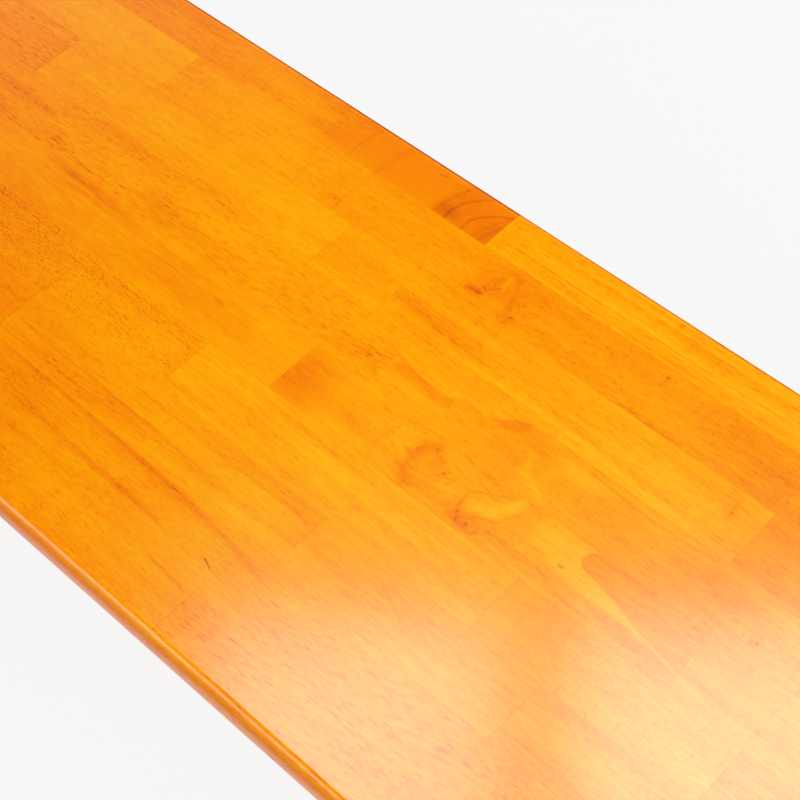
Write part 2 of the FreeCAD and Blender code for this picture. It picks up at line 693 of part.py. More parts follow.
def make_wing_nuts():
    """Wing nuts: a conical hub, two wings and the threaded bore."""
    inner = "Sizes.bolt_diameter / 2 + Sizes.fit_gap"
    hub = "Sizes.nut_diameter / 2"
    high = "Sizes.nut_height"
    nut = turned("wing_nut", [
        ("0", "0"),
        (f"0.93 * {hub}", "0"),
        (hub, f"0.05 * {high}"),
        (f"0.78 * {hub}", high),
        ("0", high),
    ])
    span = "Sizes.wing_span / 2"
    rise = "Sizes.wing_rise"
    wing = polygon(nut, "XZ_Plane", "wing", [
        (f"0.6 * {hub}", f"0.1 * {high}"),
        (f"1.13 * {hub}", f"0.15 * {high}"),
        (f"0.9 * {span}", f"0.45 * {rise}"),
        (span, f"0.8 * {rise}"),
        (f"0.93 * {span}", rise),
        (f"0.72 * {span}", f"0.95 * {rise}"),
        (f"0.87 * {hub}", f"0.9 * {high}"),
        (f"0.6 * {hub}", f"0.9 * {high}"),
    ])
    wings = nut.newObject("PartDesign::Pad", "wing_pad")
    wings.Profile = wing
    wings.SideType = "Symmetric"
    bind(wings, Length="Sizes.wing_thickness")
    doc.recompute()
    pair = nut.newObject("PartDesign::Mirrored", "wing_pair")
    pair.Originals = [wings]
    pair.MirrorPlane = (origin_plane(nut, "YZ_Plane"), [""])
    nut.Tip = pair
    doc.recompute()
    drill(nut, "bore", f"2 * ({inner})", high, ("0", "0", "0"), UP)
    seat = "Places.block_far / 2 + Sizes.washer_thickness / sqrt(2)"
    put(nut, *on_diagonal(seat), toward=INTO_BENCH, turn=WING_TURN)
    return in_four_corners("wing_nuts", [nut])


def under_foot(level):
    """Formulas for the middle of the front left foot at a height."""
    return ("Places.foot_middle - Places.leg_x", "Places.foot_middle - Places.leg_y", level)


def make_glides():
    """Nylon glides under the feet, each with a recess for the head of its nail."""
    bore = "Sizes.nail_diameter / 2 + Sizes.fit_gap"
    recess = "Sizes.nail_head_diameter / 2 + Sizes.fit_gap"
    outer = "Sizes.glide_diameter / 2"
    high = "Sizes.glide_height"
    seat = "Sizes.nail_head_cover + Sizes.nail_head_height"
    glide = turned("foot_glide", [
        (recess, "0"),
        (f"{outer} - Sizes.glide_round", "0"),
        (f"{outer} - 0.3 * Sizes.glide_round", "0.3 * Sizes.glide_round"),
        (outer, "Sizes.glide_round"),
        (outer, high),
        (bore, high),
        (bore, seat),
        (recess, seat),
    ])
    put(glide, *under_foot("0"))
    return in_four_corners("foot_glides", [glide])


def make_glide_nails():
    head = "Sizes.nail_head_diameter / 2"
    shank = "Sizes.nail_diameter / 2"
    under = "Sizes.nail_head_height"
    length = "Sizes.glide_height - Sizes.nail_head_cover + Sizes.nail_length"
    nail = turned("glide_nail", [
        ("0", "0"),
        (f"0.9 * {head}", "0"),
        (head, f"0.25 * {under}"),
        (head, under),
        (shank, under),
        (shank, f"{length} - 3 * {shank}"),
        ("0", length),
    ])
    put(nail, *under_foot("Sizes.nail_head_cover"))
    return in_four_corners("glide_nails", [nail])


subparts = make_seat()
for corner in CORNERS:
    subparts.append(make_leg(corner))
    subparts.append(make_corner_block(corner))
subparts.append(make_long_apron("apron_front", "-", 0))
subparts.append(make_long_apron("apron_back", "", 180))
subparts.append(make_end_apron("apron_right", "", "-", 90))
subparts.append(make_end_apron("apron_left", "-", "", 270))
subparts.append(make_brace("seat_brace_left", "-"))
subparts.append(make_brace("seat_brace_right", ""))
subparts.append(make_apron_dowels())
subparts.append(make_brace_dowels())
subparts.append(make_block_screws())
subparts.append(make_seat_screws())
subparts.append(make_hanger_bolts())
subparts.append(make_washers())
subparts.append(make_wing_nuts())
subparts.append(make_glides())
subparts.append(make_glide_nails())
doc.recompute()

for item in doc.Objects:
    if "Invalid" in item.State or "Error" in item.State:
        raise ValueError(f"{item.Label} failed to build: {item.State}")
for subpart in subparts:
    if subpart.Shape.isNull() or not subpart.Shape.isValid():
        raise ValueError(f"{subpart.Label} has no valid shape")

os.makedirs("parts", exist_ok=True)
for subpart in subparts:
    subpart.Shape.exportStep(f"parts/{subpart.Label}.step")
    print(subpart.Label, len(subpart.Shape.Solids), round(subpart.Shape.Volume))
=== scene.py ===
import math
import random

import bpy
from mathutils import Matrix, Vector


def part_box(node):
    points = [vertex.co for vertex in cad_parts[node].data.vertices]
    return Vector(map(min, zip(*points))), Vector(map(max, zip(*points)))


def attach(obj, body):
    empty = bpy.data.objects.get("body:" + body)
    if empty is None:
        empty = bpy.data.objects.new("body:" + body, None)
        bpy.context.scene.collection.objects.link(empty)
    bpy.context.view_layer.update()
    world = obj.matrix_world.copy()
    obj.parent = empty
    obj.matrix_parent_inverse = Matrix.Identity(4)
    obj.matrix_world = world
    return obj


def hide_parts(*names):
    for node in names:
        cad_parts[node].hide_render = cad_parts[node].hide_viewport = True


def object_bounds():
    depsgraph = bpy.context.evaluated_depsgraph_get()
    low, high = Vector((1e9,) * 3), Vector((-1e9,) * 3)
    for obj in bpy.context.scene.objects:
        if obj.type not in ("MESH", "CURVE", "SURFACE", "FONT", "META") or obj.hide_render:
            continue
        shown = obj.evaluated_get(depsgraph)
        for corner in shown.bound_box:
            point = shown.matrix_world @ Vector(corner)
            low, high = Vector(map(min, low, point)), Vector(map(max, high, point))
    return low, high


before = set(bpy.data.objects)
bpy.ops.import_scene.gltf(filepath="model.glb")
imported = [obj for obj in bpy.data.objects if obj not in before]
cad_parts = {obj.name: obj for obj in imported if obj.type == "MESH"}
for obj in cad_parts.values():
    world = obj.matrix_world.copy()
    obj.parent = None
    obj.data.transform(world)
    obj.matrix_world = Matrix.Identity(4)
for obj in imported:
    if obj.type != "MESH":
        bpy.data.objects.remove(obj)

# Dining bench with an edge-glued block seat, stained honey orange under a clear gloss lacquer.
# Shapes are in metres in the frame. Places in the wood and sizes of fasteners are in millimetres.

cad_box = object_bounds()
MM = 1000
SEAT_TOP = cad_box[1].z
HALF_LENGTH = cad_box[1].x
TOP = SEAT_TOP * MM
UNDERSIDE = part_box("seat_strip_5")[0].z * MM
END = HALF_LENGTH * MM
BACK = cad_box[1].y * MM
STRIPS = 9

CAMERA_PLACE = Vector((0.556, -0.3949, 1.3309))
CAMERA_AHEAD = Vector((-0.45074, 0.38569, -0.80503))
CAMERA_RIGHT = Vector((0.71996, 0.69023, -0.07242))
CAMERA_LENS = 83.25


class Nodes:
    """Short calls that add nodes to a tree. A value is a number, a tuple or another node's output."""

    def __init__(self, tree):
        self.tree = tree

    def feed(self, socket, value):
        if isinstance(value, bpy.types.NodeSocket):
            self.tree.links.new(value, socket)
        elif value is not None:
            socket.default_value = value

    def node(self, kind, **settings):
        made = self.tree.nodes.new("ShaderNode" + kind)
        for name, setting in settings.items():
            setattr(made, name, setting)
        return made

    def filled(self, made, *values):
        """Feeds a node's inputs in their order and gives its first output."""
        for socket, value in zip(made.inputs, values):
            self.feed(socket, value)
        return made.outputs[0]

    def math(self, operation, first, second=None, third=None, clamp=False):
        made = self.node("Math", operation=operation, use_clamp=clamp)
        return self.filled(made, first, second, third)

    def plus(self, first, second, clamp=False):
        return self.math("ADD", first, second, clamp=clamp)

    def minus(self, first, second, clamp=False):
        return self.math("SUBTRACT", first, second, clamp=clamp)

    def times(self, first, second):
        return self.math("MULTIPLY", first, second)

    def apart(self, first, second):
        return self.math("ABSOLUTE", self.minus(first, second))

    def vector(self, operation, first, second=None):
        made = self.node("VectorMath", operation=operation)
        self.feed(made.inputs[0], first)
        self.feed(made.inputs["Scale" if operation == "SCALE" else 1], second)
        gives_number = operation in ("DOT_PRODUCT", "LENGTH", "DISTANCE")
        return made.outputs["Value" if gives_number else "Vector"]

    def split(self, vector):
        made = self.node("SeparateXYZ")
        self.feed(made.inputs[0], vector)
        return made.outputs

    def join(self, x, y, z):
        return self.filled(self.node("CombineXYZ"), x, y, z)

    def place(self):
        """The place in the frame, in millimetres."""
        return self.vector("SCALE", self.node("TexCoord").outputs["Object"], MM)

    def noise(self, vector, scale=1.0, detail=2.0, coloured=False):
        """Smooth noise about zero, as a number or as a vector."""
        made = self.node("TexNoise")
        self.feed(made.inputs["Vector"], vector)
        made.inputs["Scale"].default_value = scale
        made.inputs["Detail"].default_value = detail
        if coloured:
            return self.vector("SUBTRACT", made.outputs["Color"], (0.5, 0.5, 0.5))
        return self.minus(made.outputs["Fac"], 0.5)

    def cells(self, vector):
        """Distance to the nearest cell point and that cell's random colour."""
        made = self.node("TexVoronoi")
        self.feed(made.inputs["Vector"], vector)
        made.inputs["Scale"].default_value = 1.0
        return made.outputs["Distance"], made.outputs["Color"]

    def fade(self, value, low, high, start=0.0, end=1.0):
        """Runs smoothly from start, at low, to end, at high."""
        made = self.node("MapRange", interpolation_type="SMOOTHSTEP")
        return self.filled(made, value, low, high, start, end)

    def ramp(self, value, stops, steps=False):
        """Colours along a value. stops is [(position, colour of four numbers)]."""
        made = self.node("ValToRGB")
        self.feed(made.inputs[0], value)
        band = made.color_ramp
        band.interpolation = "CONSTANT" if steps else "LINEAR"
        while len(band.elements) < len(stops):
            band.elements.new(0.5)
        for element, stop in zip(band.elements, stops):
            element.position = stop[0]
        for element, stop in zip(band.elements, stops):
            element.color = stop[1]
        return made.outputs

    def blend(self, share, first, second):
        made = self.node("Mix", data_type="RGBA")
        self.feed(made.inputs["Factor"], share)
        for socket, value in zip([s for s in made.inputs if s.type == "RGBA"], (first, second)):
            self.feed(socket, value)
        return next(s for s in made.outputs if s.type == "RGBA")

    def total(self, values):
        result = values[0]
        for value in values[1:]:
            result = self.plus(result, value)
        return result

    def bump(self, height, strength, distance):
        made = self.node("Bump")
        made.inputs["Strength"].default_value = strength
        made.inputs["Distance"].default_value = distance
        self.feed(made.inputs["Height"], height)
        return made.outputs[0]

    def surface(self, colour, roughness, normal, **settings):
        """A Principled surface on the material's output. Other settings keep one value all over."""
        shader = self.node("BsdfPrincipled")
        self.feed(shader.inputs["Base Color"], colour)
        self.feed(shader.inputs["Roughness"], roughness)
        self.feed(shader.inputs["Normal"], normal)
        for name, setting in settings.items():
            self.feed(shader.inputs[name.replace("_", " ")], setting)
        self.feed(self.node("OutputMaterial").inputs["Surface"], shader.outputs[0])
        return shader


def new_material(name):
    material = bpy.data.materials.new(name)
    material.use_nodes = True
    material.node_tree.nodes.clear()
    return material, Nodes(material.node_tree)


def new_object(name, data):
    made = bpy.data.objects.new(name, data)
    bpy.context.scene.collection.objects.link(made)
    return made


def new_group(name, **sockets):
    """An empty node group. sockets are INPUT and OUTPUT, each [(name, kind of socket)]."""
    tree = bpy.data.node_groups.new(name, "ShaderNodeTree")
    for side, pairs in sockets.items():
        for title, kind in pairs:
            tree.interface.new_socket(title, in_out=side, socket_type="NodeSocket" + kind)
    start = tree.nodes.new("NodeGroupInput")
    end = tree.nodes.new("NodeGroupOutput")
    return tree, Nodes(tree), start.outputs, end.inputs


# Wood figure

FIBRE_STRETCH = 0.1
PORE_LENGTH = 14.0
PORE_WIDTH = 1.15


def make_figure_group():
    """Rubberwood at a place in a block whose grain runs along X: tone about zero, pores and dents."""
    inputs = [("Place", "Vector"), ("Pith", "Vector"), ("Seed", "Vector")]
    inputs += [("Bands", "Float"), ("Pores", "Float"), ("Reach", "Float")]
    outputs = [("Tone", "Float"), ("Pore", "Float"), ("Height", "Float")]
    tree, n, given, result = new_group("rubberwood_figure", INPUT=inputs, OUTPUT=outputs)
    x, y, z = n.split(given["Place"])
    from_pith = n.vector("MULTIPLY", n.vector("SUBTRACT", given["Place"], given["Pith"]), (0, 1, 1))
    ring = n.vector("LENGTH", from_pith)

    def layers(along, across):
        spot = n.join(n.times(x, along), n.times(ring, across), 0)
        return n.vector("ADD", spot, given["Seed"])

    def fibres(along, across, place=given["Place"]):
        return n.vector("ADD", n.vector("MULTIPLY", place, (along, across, across)), given["Seed"])

    growth = n.noise(layers(0.0022, 0.12))
    lines = n.noise(layers(0.006, 0.75), detail=3)
    fibre = n.noise(fibres(FIBRE_STRETCH, 1.1), detail=3)
    clouds = n.noise(fibres(0.012, 0.05), detail=3)
    ringed = n.plus(n.times(growth, 0.7), n.times(lines, 0.6))
    parts = [n.times(ringed, given["Bands"]), n.times(fibre, 0.55), n.times(clouds, 0.4)]
    n.feed(result["Tone"], n.total(parts))

    along_pores = n.join(n.math("DIVIDE", x, given["Reach"]), y, z)

    def pores(length, width, share):
        away, chance = n.cells(fibres(1 / length, 1 / width, along_pores))
        thick = n.plus(given["Pores"], n.times(growth, 0.9))
        kind = n.split(chance)
        kept = n.math("LESS_THAN", kind[0], n.times(thick, share))
        depth = n.plus(n.times(kind[1], 0.65), 0.35)
        return n.times(n.times(n.fade(away, 0.36, 0.15), kept), depth)

    coarse = n.times(pores(PORE_LENGTH, PORE_WIDTH, 0.7), 0.85)
    fine = n.times(pores(0.6 * PORE_LENGTH, 0.65 * PORE_WIDTH, 1.8), 0.75)
    hatch = n.times(pores(0.4 * PORE_LENGTH, 0.5 * PORE_WIDTH, 2.4), 0.5)
    deepest = n.math("MAXIMUM", coarse, n.math("MAXIMUM", fine, hatch))
    pore = n.times(deepest, n.plus(n.times(given["Pores"], 0.45), 0.8))
    n.feed(result["Pore"], pore)
    n.feed(result["Height"], n.minus(n.times(fibre, 0.3), pore))
    return tree


FIGURE_GROUP = make_figure_group()

# Colours of the stained wood from the palest figure to the darkest, as light
STAIN = [
    (0.0, (0.96, 0.5, 0.006, 1)),
    (0.25, (0.96, 0.395, 0.001, 1)),
    (0.42, (0.955, 0.33, 0.0002, 1)),
    (0.6, (0.93, 0.245, 0.0002, 1)),
    (0.75, (0.86, 0.185, 0.0005, 1)),
    (0.9, (0.64, 0.115, 0.002, 1)),
    (1.0, (0.42, 0.065, 0.002, 1)),
]


def figure(n, place, pith, seed, bands, pores, reach):
    """Gives the tone, pores and dents of the wood at a place."""
    made = n.node("Group", node_tree=FIGURE_GROUP)
    n.filled(made, place, pith, seed, bands, pores, reach)
    return made.outputs


PORE_STAIN = 0.41


def lacquered(n, tone, pore, height, coat=1.0):
    """Stained wood under a clear coat that dips a little into the pores and has a faint ripple."""
    shade = n.plus(tone, n.times(pore, PORE_STAIN), clamp=True)
    colour = n.ramp(shade, STAIN)[0]
    roughness = n.plus(n.times(pore, 0.2), 0.42)
    dents = n.bump(height, 0.35, 0.00006)
    ripple = n.noise(n.place(), scale=0.16, detail=1)
    fine = n.times(height, 0.25)
    skin = n.bump(n.plus(ripple, fine), 0.3, 0.00008)
    shader = n.surface(
        colour,
        roughness,
        dents,
        Specular_IOR_Level=0.0,
        Coat_Weight=coat,
        Coat_Roughness=0.16,
        Coat_IOR=1.6,
    )
    n.feed(shader.inputs["Coat Normal"], skin)


# Looks of the wood: growth bands, pores, pith aside and below, slope of the grain, length of the pores
LOOKS = {
    "plain": (0.35, 0.4, 30, -45, -0.02, 0.5),
    "pale": (0.3, 0.3, -60, -30, 0.02, 0.45),
    "deep": (0.4, 0.35, 40, -60, 0.01, 0.5),
    "streaky": (0.47, 0.3, 90, -10, -0.01, 0.7),
    "dashed": (0.3, 1.0, 50, -50, -0.06, 1.0),
    "porous": (0.2, 1.4, 10, -70, 0.0, 0.28),
    "dotted": (0.2, 0.5, 10, -70, 0.0, 0.3),
    "smooth": (0.25, 0.12, -15, -30, 0.0, 0.35),
    "lined": (0.6, 0.4, 120, 10, 0.03, 0.9),
    "grained": (0.75, 0.7, 110, 10, 0.01, 0.9),
}
# Blocks of each strip from the left, with their tone: 0 is the palest wood and 1 the darkest
ROWS = [
    [("plain", 0.4), ("deep", 0.5), ("deep", 0.5), ("grained", 0.27), ("plain", 0.42), ("pale", 0.3)],
    [("streaky", 0.4), ("pale", 0.3), ("plain", 0.4), ("plain", 0.46), ("plain", 0.36), ("deep", 0.5)],
    [("pale", 0.3), ("dashed", 0.45), ("plain", 0.375), ("plain", 0.4), ("lined", 0.33), ("deep", 0.46),
     ("plain", 0.35)],
    [("deep", 0.5), ("streaky", 0.4), ("dashed", 0.4), ("pale", 0.37), ("smooth", 0.46), ("pale", 0.32)],
    [("plain", 0.4), ("lined", 0.35), ("smooth", 0.41), ("plain", 0.38), ("pale", 0.34), ("dashed", 0.44)],
    [("smooth", 0.4), ("plain", 0.35), ("porous", 0.41), ("porous", 0.4), ("lined", 0.3), ("dotted", 0.32),
     ("plain", 0.4), ("deep", 0.5)],
    [("dashed", 0.42), ("pale", 0.33), ("deep", 0.42), ("streaky", 0.4), ("pale", 0.36), ("plain", 0.42),
     ("smooth", 0.36)],
    [("plain", 0.4), ("deep", 0.46), ("streaky", 0.4), ("dashed", 0.4), ("plain", 0.36), ("pale", 0.3)],
    [("lined", 0.34), ("plain", 0.42), ("plain", 0.42), ("dashed", 0.44), ("deep", 0.48), ("plain", 0.4)],
]

FINGER_LENGTH = 10
FINGER_PITCH = 4
SHOULDER = 1.5
LINE_WIDTH = 0.16
SEED_RANGE = 900
# Reach of the numbers that a block's colours carry
DENSEST_PORES = 2
PITH_RANGE = 400
SLOPE_RANGE = 1
MIDDLE_RANGE = 1200


class Marks:
    """Marks in the wood at places on the seat, in mm: what darkens it and what bends its grain."""

    def __init__(self, n, x, y, block):
        self.n = n
        self.block = block
        wobble = n.noise(n.join(x, y, 0), scale=0.05, coloured=True)
        shake = n.split(n.vector("SCALE", wobble, 3.0))
        self.x = n.plus(x, shake[0])
        self.y = n.plus(y, shake[1])
        self.tones = []
        self.bends = []
        self.lively = 1.0

    def within(self, mask, block):
        """The mask, kept to one block, counted from 1 at the left, if one is given."""
        if block is None:
            return mask
        return self.n.times(mask, self.n.math("COMPARE", self.block, block - 1, 0.5))

    def away(self, at, size):
        """Distance from a place, where 1 is an ellipse of that size."""
        n = self.n
        across = n.math("DIVIDE", n.minus(self.x, at[0]), size[0])
        up = n.math("DIVIDE", n.minus(self.y, at[1]), size[1])
        return n.vector("LENGTH", n.join(across, up, 0))

    def darken(self, mask, dark, block=None):
        self.tones.append(self.n.times(self.within(mask, block), dark))

    def calm(self, at, size, share, block=None):
        """Quietens the grain and the pores in a patch."""
        n = self.n
        mask = self.within(n.fade(self.away(at, size), 1, 0.6), block)
        self.lively = n.times(self.lively, n.minus(1, n.times(mask, share)))

    def spot(self, at, size, dark, block=None, core=0.1):
        """A round patch that is even within its core and fades to its rim."""
        self.darken(self.n.fade(self.away(at, size), 1, core), dark, block)

    def arc(self, at, radius, width, dark, block=None):
        away = self.n.apart(self.away(at, (1, 1)), radius)
        self.darken(self.n.fade(away, width, 0), dark, block)

    def rings(self, at, size, spacing, dark, block=None):
        """Growth rings round a knot, which fade out at an ellipse."""
        n = self.n
        away = self.away(at, size)
        count = max(size) / spacing
        wave = n.noise(n.join(n.times(away, count), 0, 0))
        self.darken(n.times(wave, n.fade(away, 1, 0.4)), 2 * dark, block)

    def height(self, points):
        """Y of a smooth line through the points, at this X."""
        n = self.n
        xs = [point[0] for point in points]
        ys = [point[1] for point in points]
        low, high = min(ys) - 1, max(ys) + 1
        curve = n.node("FloatCurve")
        line = curve.mapping.curves[0]
        while len(line.points) < len(points):
            line.points.new(0.5, 0.5)
        for point, (x, y) in zip(line.points, points):
            point.location = ((x - xs[0]) / (xs[-1] - xs[0]), (y - low) / (high - low))
        curve.mapping.update()
        n.feed(curve.inputs["Value"], n.math("DIVIDE", n.minus(self.x, xs[0]), xs[-1] - xs[0]))
        return n.plus(n.times(curve.outputs[0], high - low), low)

    def between(self, start, end, soft):
        n = self.n
        return n.times(n.fade(self.x, start, start + soft), n.fade(self.x, end, end - soft))

    def line(self, width, dark, points, block=None, soft=6):
        n = self.n
        away = n.apart(self.y, self.height(points))
        ends = self.between(points[0][0], points[-1][0], soft)
        self.darken(n.times(n.fade(away, width, 0), ends), dark, block)

    def strip(self, upper, lower, soft=1.5, ends=6):
        """1 between two lines that start and end at the same X."""
        n = self.n
        under = n.fade(n.minus(self.height(upper), self.y), -soft, soft)
        over = n.fade(n.minus(self.y, self.height(lower)), -soft, soft)
        inside = n.times(under, over)
        return n.times(inside, self.between(upper[0][0], upper[-1][0], ends))

    def zone(self, dark, upper, lower, soft=1.5, ends=6):
        self.darken(self.strip(upper, lower, soft, ends), dark)

    def stroke(self, width, dark, points, block=None):
        """A soft line in any direction through the points."""
        n = self.n
        here = n.join(self.x, self.y, 0)
        nearest = None
        for start, end in zip(points, points[1:]):
            run = Vector((end[0] - start[0], end[1] - start[1], 0))
            off = n.vector("SUBTRACT", here, (*start, 0))
            step = tuple(run / run.length_squared)
            share = n.plus(n.vector("DOT_PRODUCT", off, step), 0, clamp=True)
            away = n.vector("DISTANCE", off, n.vector("SCALE", tuple(run), share))
            nearest = away if nearest is None else n.math("MINIMUM", nearest, away)
        self.darken(n.fade(nearest, width, 0), dark, block)

    def knot(self, at, size, dark):
        """A knot: bent grain, rings and a dark pin with a halo."""
        self.eye(at, size, 1.25)
        self.rings(at, (1.3 * size[0], 1.5 * size[1]), 3.0, dark)
        self.spot(at, (0.7 * size[0], 0.8 * size[1]), 0.4 * dark)
        self.spot(at, (2.6, 1.6), 1.2 * dark)

    def eye(self, at, size, pull):
        """Grain that bends round a knot. A pull above 1 closes it to ovals."""
        n = self.n
        away = self.away(at, size)
        fall = n.math("POWER", math.e, n.times(n.math("POWER", away, 2), -1))
        off = n.minus(self.y, at[1])
        self.bends.append(n.times(n.times(off, fall), -pull))


# Marks of the strips, from the back edge

def row_1(wood):
    """A brown block with arcs at its end, and fine lines along the pale block."""
    middle = (55, 142)
    wood.calm((-20, 158), (95, 42), 0.8, block=3)
    wood.spot((-70, 165), (90, 40), 0.13, block=3, core=0.4)
    wood.spot(middle, (84, 84), 0.17, block=3, core=0.84)
    wood.spot(middle, (49, 49), 0.06, block=3, core=0.8)
    wood.spot((-13, 150), (16, 9), 0.13, block=3)
    wood.spot((10, 152), (24, 18), 0.03, block=3, core=0.5)
    left_arc = [(-10.6, 144), (-12, 153.5), (-10.6, 159.6), (-8, 165), (-3, 170), (3, 176)]
    right_arc = [(3, 144), (3.6, 153.4), (7.1, 160.2), (13.5, 166), (19, 169.7), (26, 173)]
    wood.stroke(1.7, 0.12, left_arc, block=3)
    wood.stroke(1.9, 0.13, right_arc, block=3)
    arcs = [(37, 3, 0.06), (42, 2, 0.04), (76, 3, 0.07), (126, 5, 0.06), (152, 1.2, 0.12)]
    for radius, width, dark in arcs:
        wood.arc(middle, radius, width, dark, block=3)
    wood.stroke(1.4, 0.16, [(-38, 170), (-33, 171.5)])
    wood.stroke(1.2, 0.14, [(-24, 170), (-19, 172.5)])
    wood.line(1.3, 0.16, [(26, 174.6), (90, 175.2), (150, 173.6)], soft=12)
    wood.line(2.8, 0.14, [(40, 166.2), (120, 167.2), (200, 168.4), (290, 169.6)], soft=20)
    wood.spot((157, 174), (3.5, 3), 0.36)
    wood.spot((30, 160), (24, 30), 0.08, block=4)
    wood.spot((125, 150), (34, 8), -0.06)
    wood.spot((190, 163), (50, 14), 0.06)
    wood.line(1.0, 0.2, [(26, 154.6), (90, 155), (160, 154.2)], soft=10)
    wood.line(1.0, 0.22, [(146, 155.6), (190, 156.4), (250, 157.6)], soft=10)
    wood.line(1.0, 0.16, [(130, 147.6), (185, 148.2), (250, 149)], soft=10)


def row_2(wood):
    """A knot at a block's end, a knot like a flame and a pin knot."""
    wood.knot((-76, 112), (12, 6), 0.26)
    wood.line(0.9, 0.16, [(-154, 119), (-120, 115), (-89, 111.5)])
    wood.line(0.9, 0.14, [(-124, 141), (-100, 140), (-79, 138.5)])
    wood.spot((-104, 131), (3, 1.2), 0.2)
    wood.eye((56, 127), (30, 14), 1.2)
    wood.calm((56, 122), (30, 22), 0.5)
    wood.rings((56, 125), (28, 18), 3.2, 0.16)
    wood.spot((58, 124), (34, 18), 0.12, core=0.3)
    wood.spot((58, 139), (9, 6), 0.1, core=0.3)
    wood.spot((73, 110), (11, 7), 0.1, core=0.3)
    wood.spot((42, 114), (12, 6), 0.2, core=0.2)
    wood.stroke(3.5, 0.08, [(46, 116), (50, 127), (53, 137)])
    wood.stroke(2.6, -0.2, [(56.5, 125.5), (54.5, 137)])
    wood.stroke(1.7, 0.19, [(37.5, 113), (42, 114), (48, 114.3)])
    wood.stroke(1.4, 0.14, [(48, 114.5), (51, 120.5), (56, 125.5)])
    wood.stroke(3.0, 0.1, [(61, 136), (66, 124), (70, 115)])
    wood.spot((61, 114), (7, 6), -0.1)
    wood.stroke(1.1, 0.15, [(66.5, 108.5), (70, 104.5)])
    wood.stroke(1.1, 0.15, [(75.4, 112), (72.6, 104.5)])
    wood.knot((175, 138.5), (9, 5), 0.2)
    wood.stroke(2.5, 0.12, [(175, 138), (174, 131)])
    wood.line(0.8, 0.2, [(160, 105.5), (185, 105), (210, 104.5)])
    wood.line(1.0, 0.12, [(-64, 105), (0, 105.5), (60, 105)])
    wood.spot((-42, 126), (40, 16), -0.07)
    wood.spot((-82, 124), (24, 22), 0.07, block=3)
    wood.spot((-62, 124), (24, 20), -0.05, block=4)
    wood.spot((205, 112), (34, 9), -0.07)


def row_3(wood):
    """Fine lines, broad patches and a knot near the end of the long block."""
    wood.line(0.8, 0.12, [(160, 94.5), (210, 95), (262, 96)])
    wood.line(0.8, 0.1, [(150, 91), (210, 91.5), (262, 92)])
    wood.line(0.8, 0.1, [(150, 84.5), (210, 85), (250, 86)])
    wood.line(2.4, -0.1, [(30, 67.5), (120, 70), (210, 72)], soft=30)
    wood.line(2.0, -0.08, [(60, 77), (150, 80), (240, 81)], soft=30)
    wood.spot((215, 76), (75, 24), -0.14, core=0.3)
    wood.spot((115, 66), (40, 8), 0.1)
    wood.spot((50, 86), (80, 30), 0.14, block=5)
    wood.spot((120, 90), (46, 9), 0.08)
    wood.knot((259.6, 88.5), (11, 6), 0.2)
    wood.stroke(3.0, 0.12, [(259, 99), (260, 82)])
    wood.zone(-0.08, [(150, 71), (200, 70), (240, 67), (259, 62.5)], [(150, 62), (200, 62), (259, 62)])


def row_4(wood):
    """A wavy border of darker wood, a dark line right of it and a knot."""
    wood.spot((-155, 40), (40, 18), 0.1)
    wood.line(1.2, 0.2, [(-262, 28), (-236, 26), (-208, 24)])
    border = [(43, 47.5), (77, 42.5), (90, 45), (96, 48.7)]
    border += [(112, 47.5), (120, 50.5), (130, 57.5), (141, 60.5)]
    shade = [(x, y - 7) for x, y in border]
    wood.line(1.8, 0.13, border)
    wood.zone(0.14, border, shade, soft=2.5)
    wood.spot((112, 39), (24, 5), -0.06)
    wood.spot((70, 34), (30, 9), -0.1)
    wood.spot((140, 46), (30, 20), 0.13, core=0.4)
    wood.spot((145, 28), (22, 10), 0.08)
    wood.stroke(4.5, -0.13, [(152, 44), (154.5, 34), (163, 30), (176, 25)])
    wood.spot((184, 52), (28, 9), -0.22, core=0.2)
    wood.line(1.4, 0.18, [(180, 60), (211, 56.5), (251, 56.5), (281, 58.5)])
    wood.spot((284, 46), (48, 14), 0.16, core=0.3)
    wood.spot((240, 35), (40, 12), -0.08)
    wood.knot((320, 32), (14, 8), 0.18)


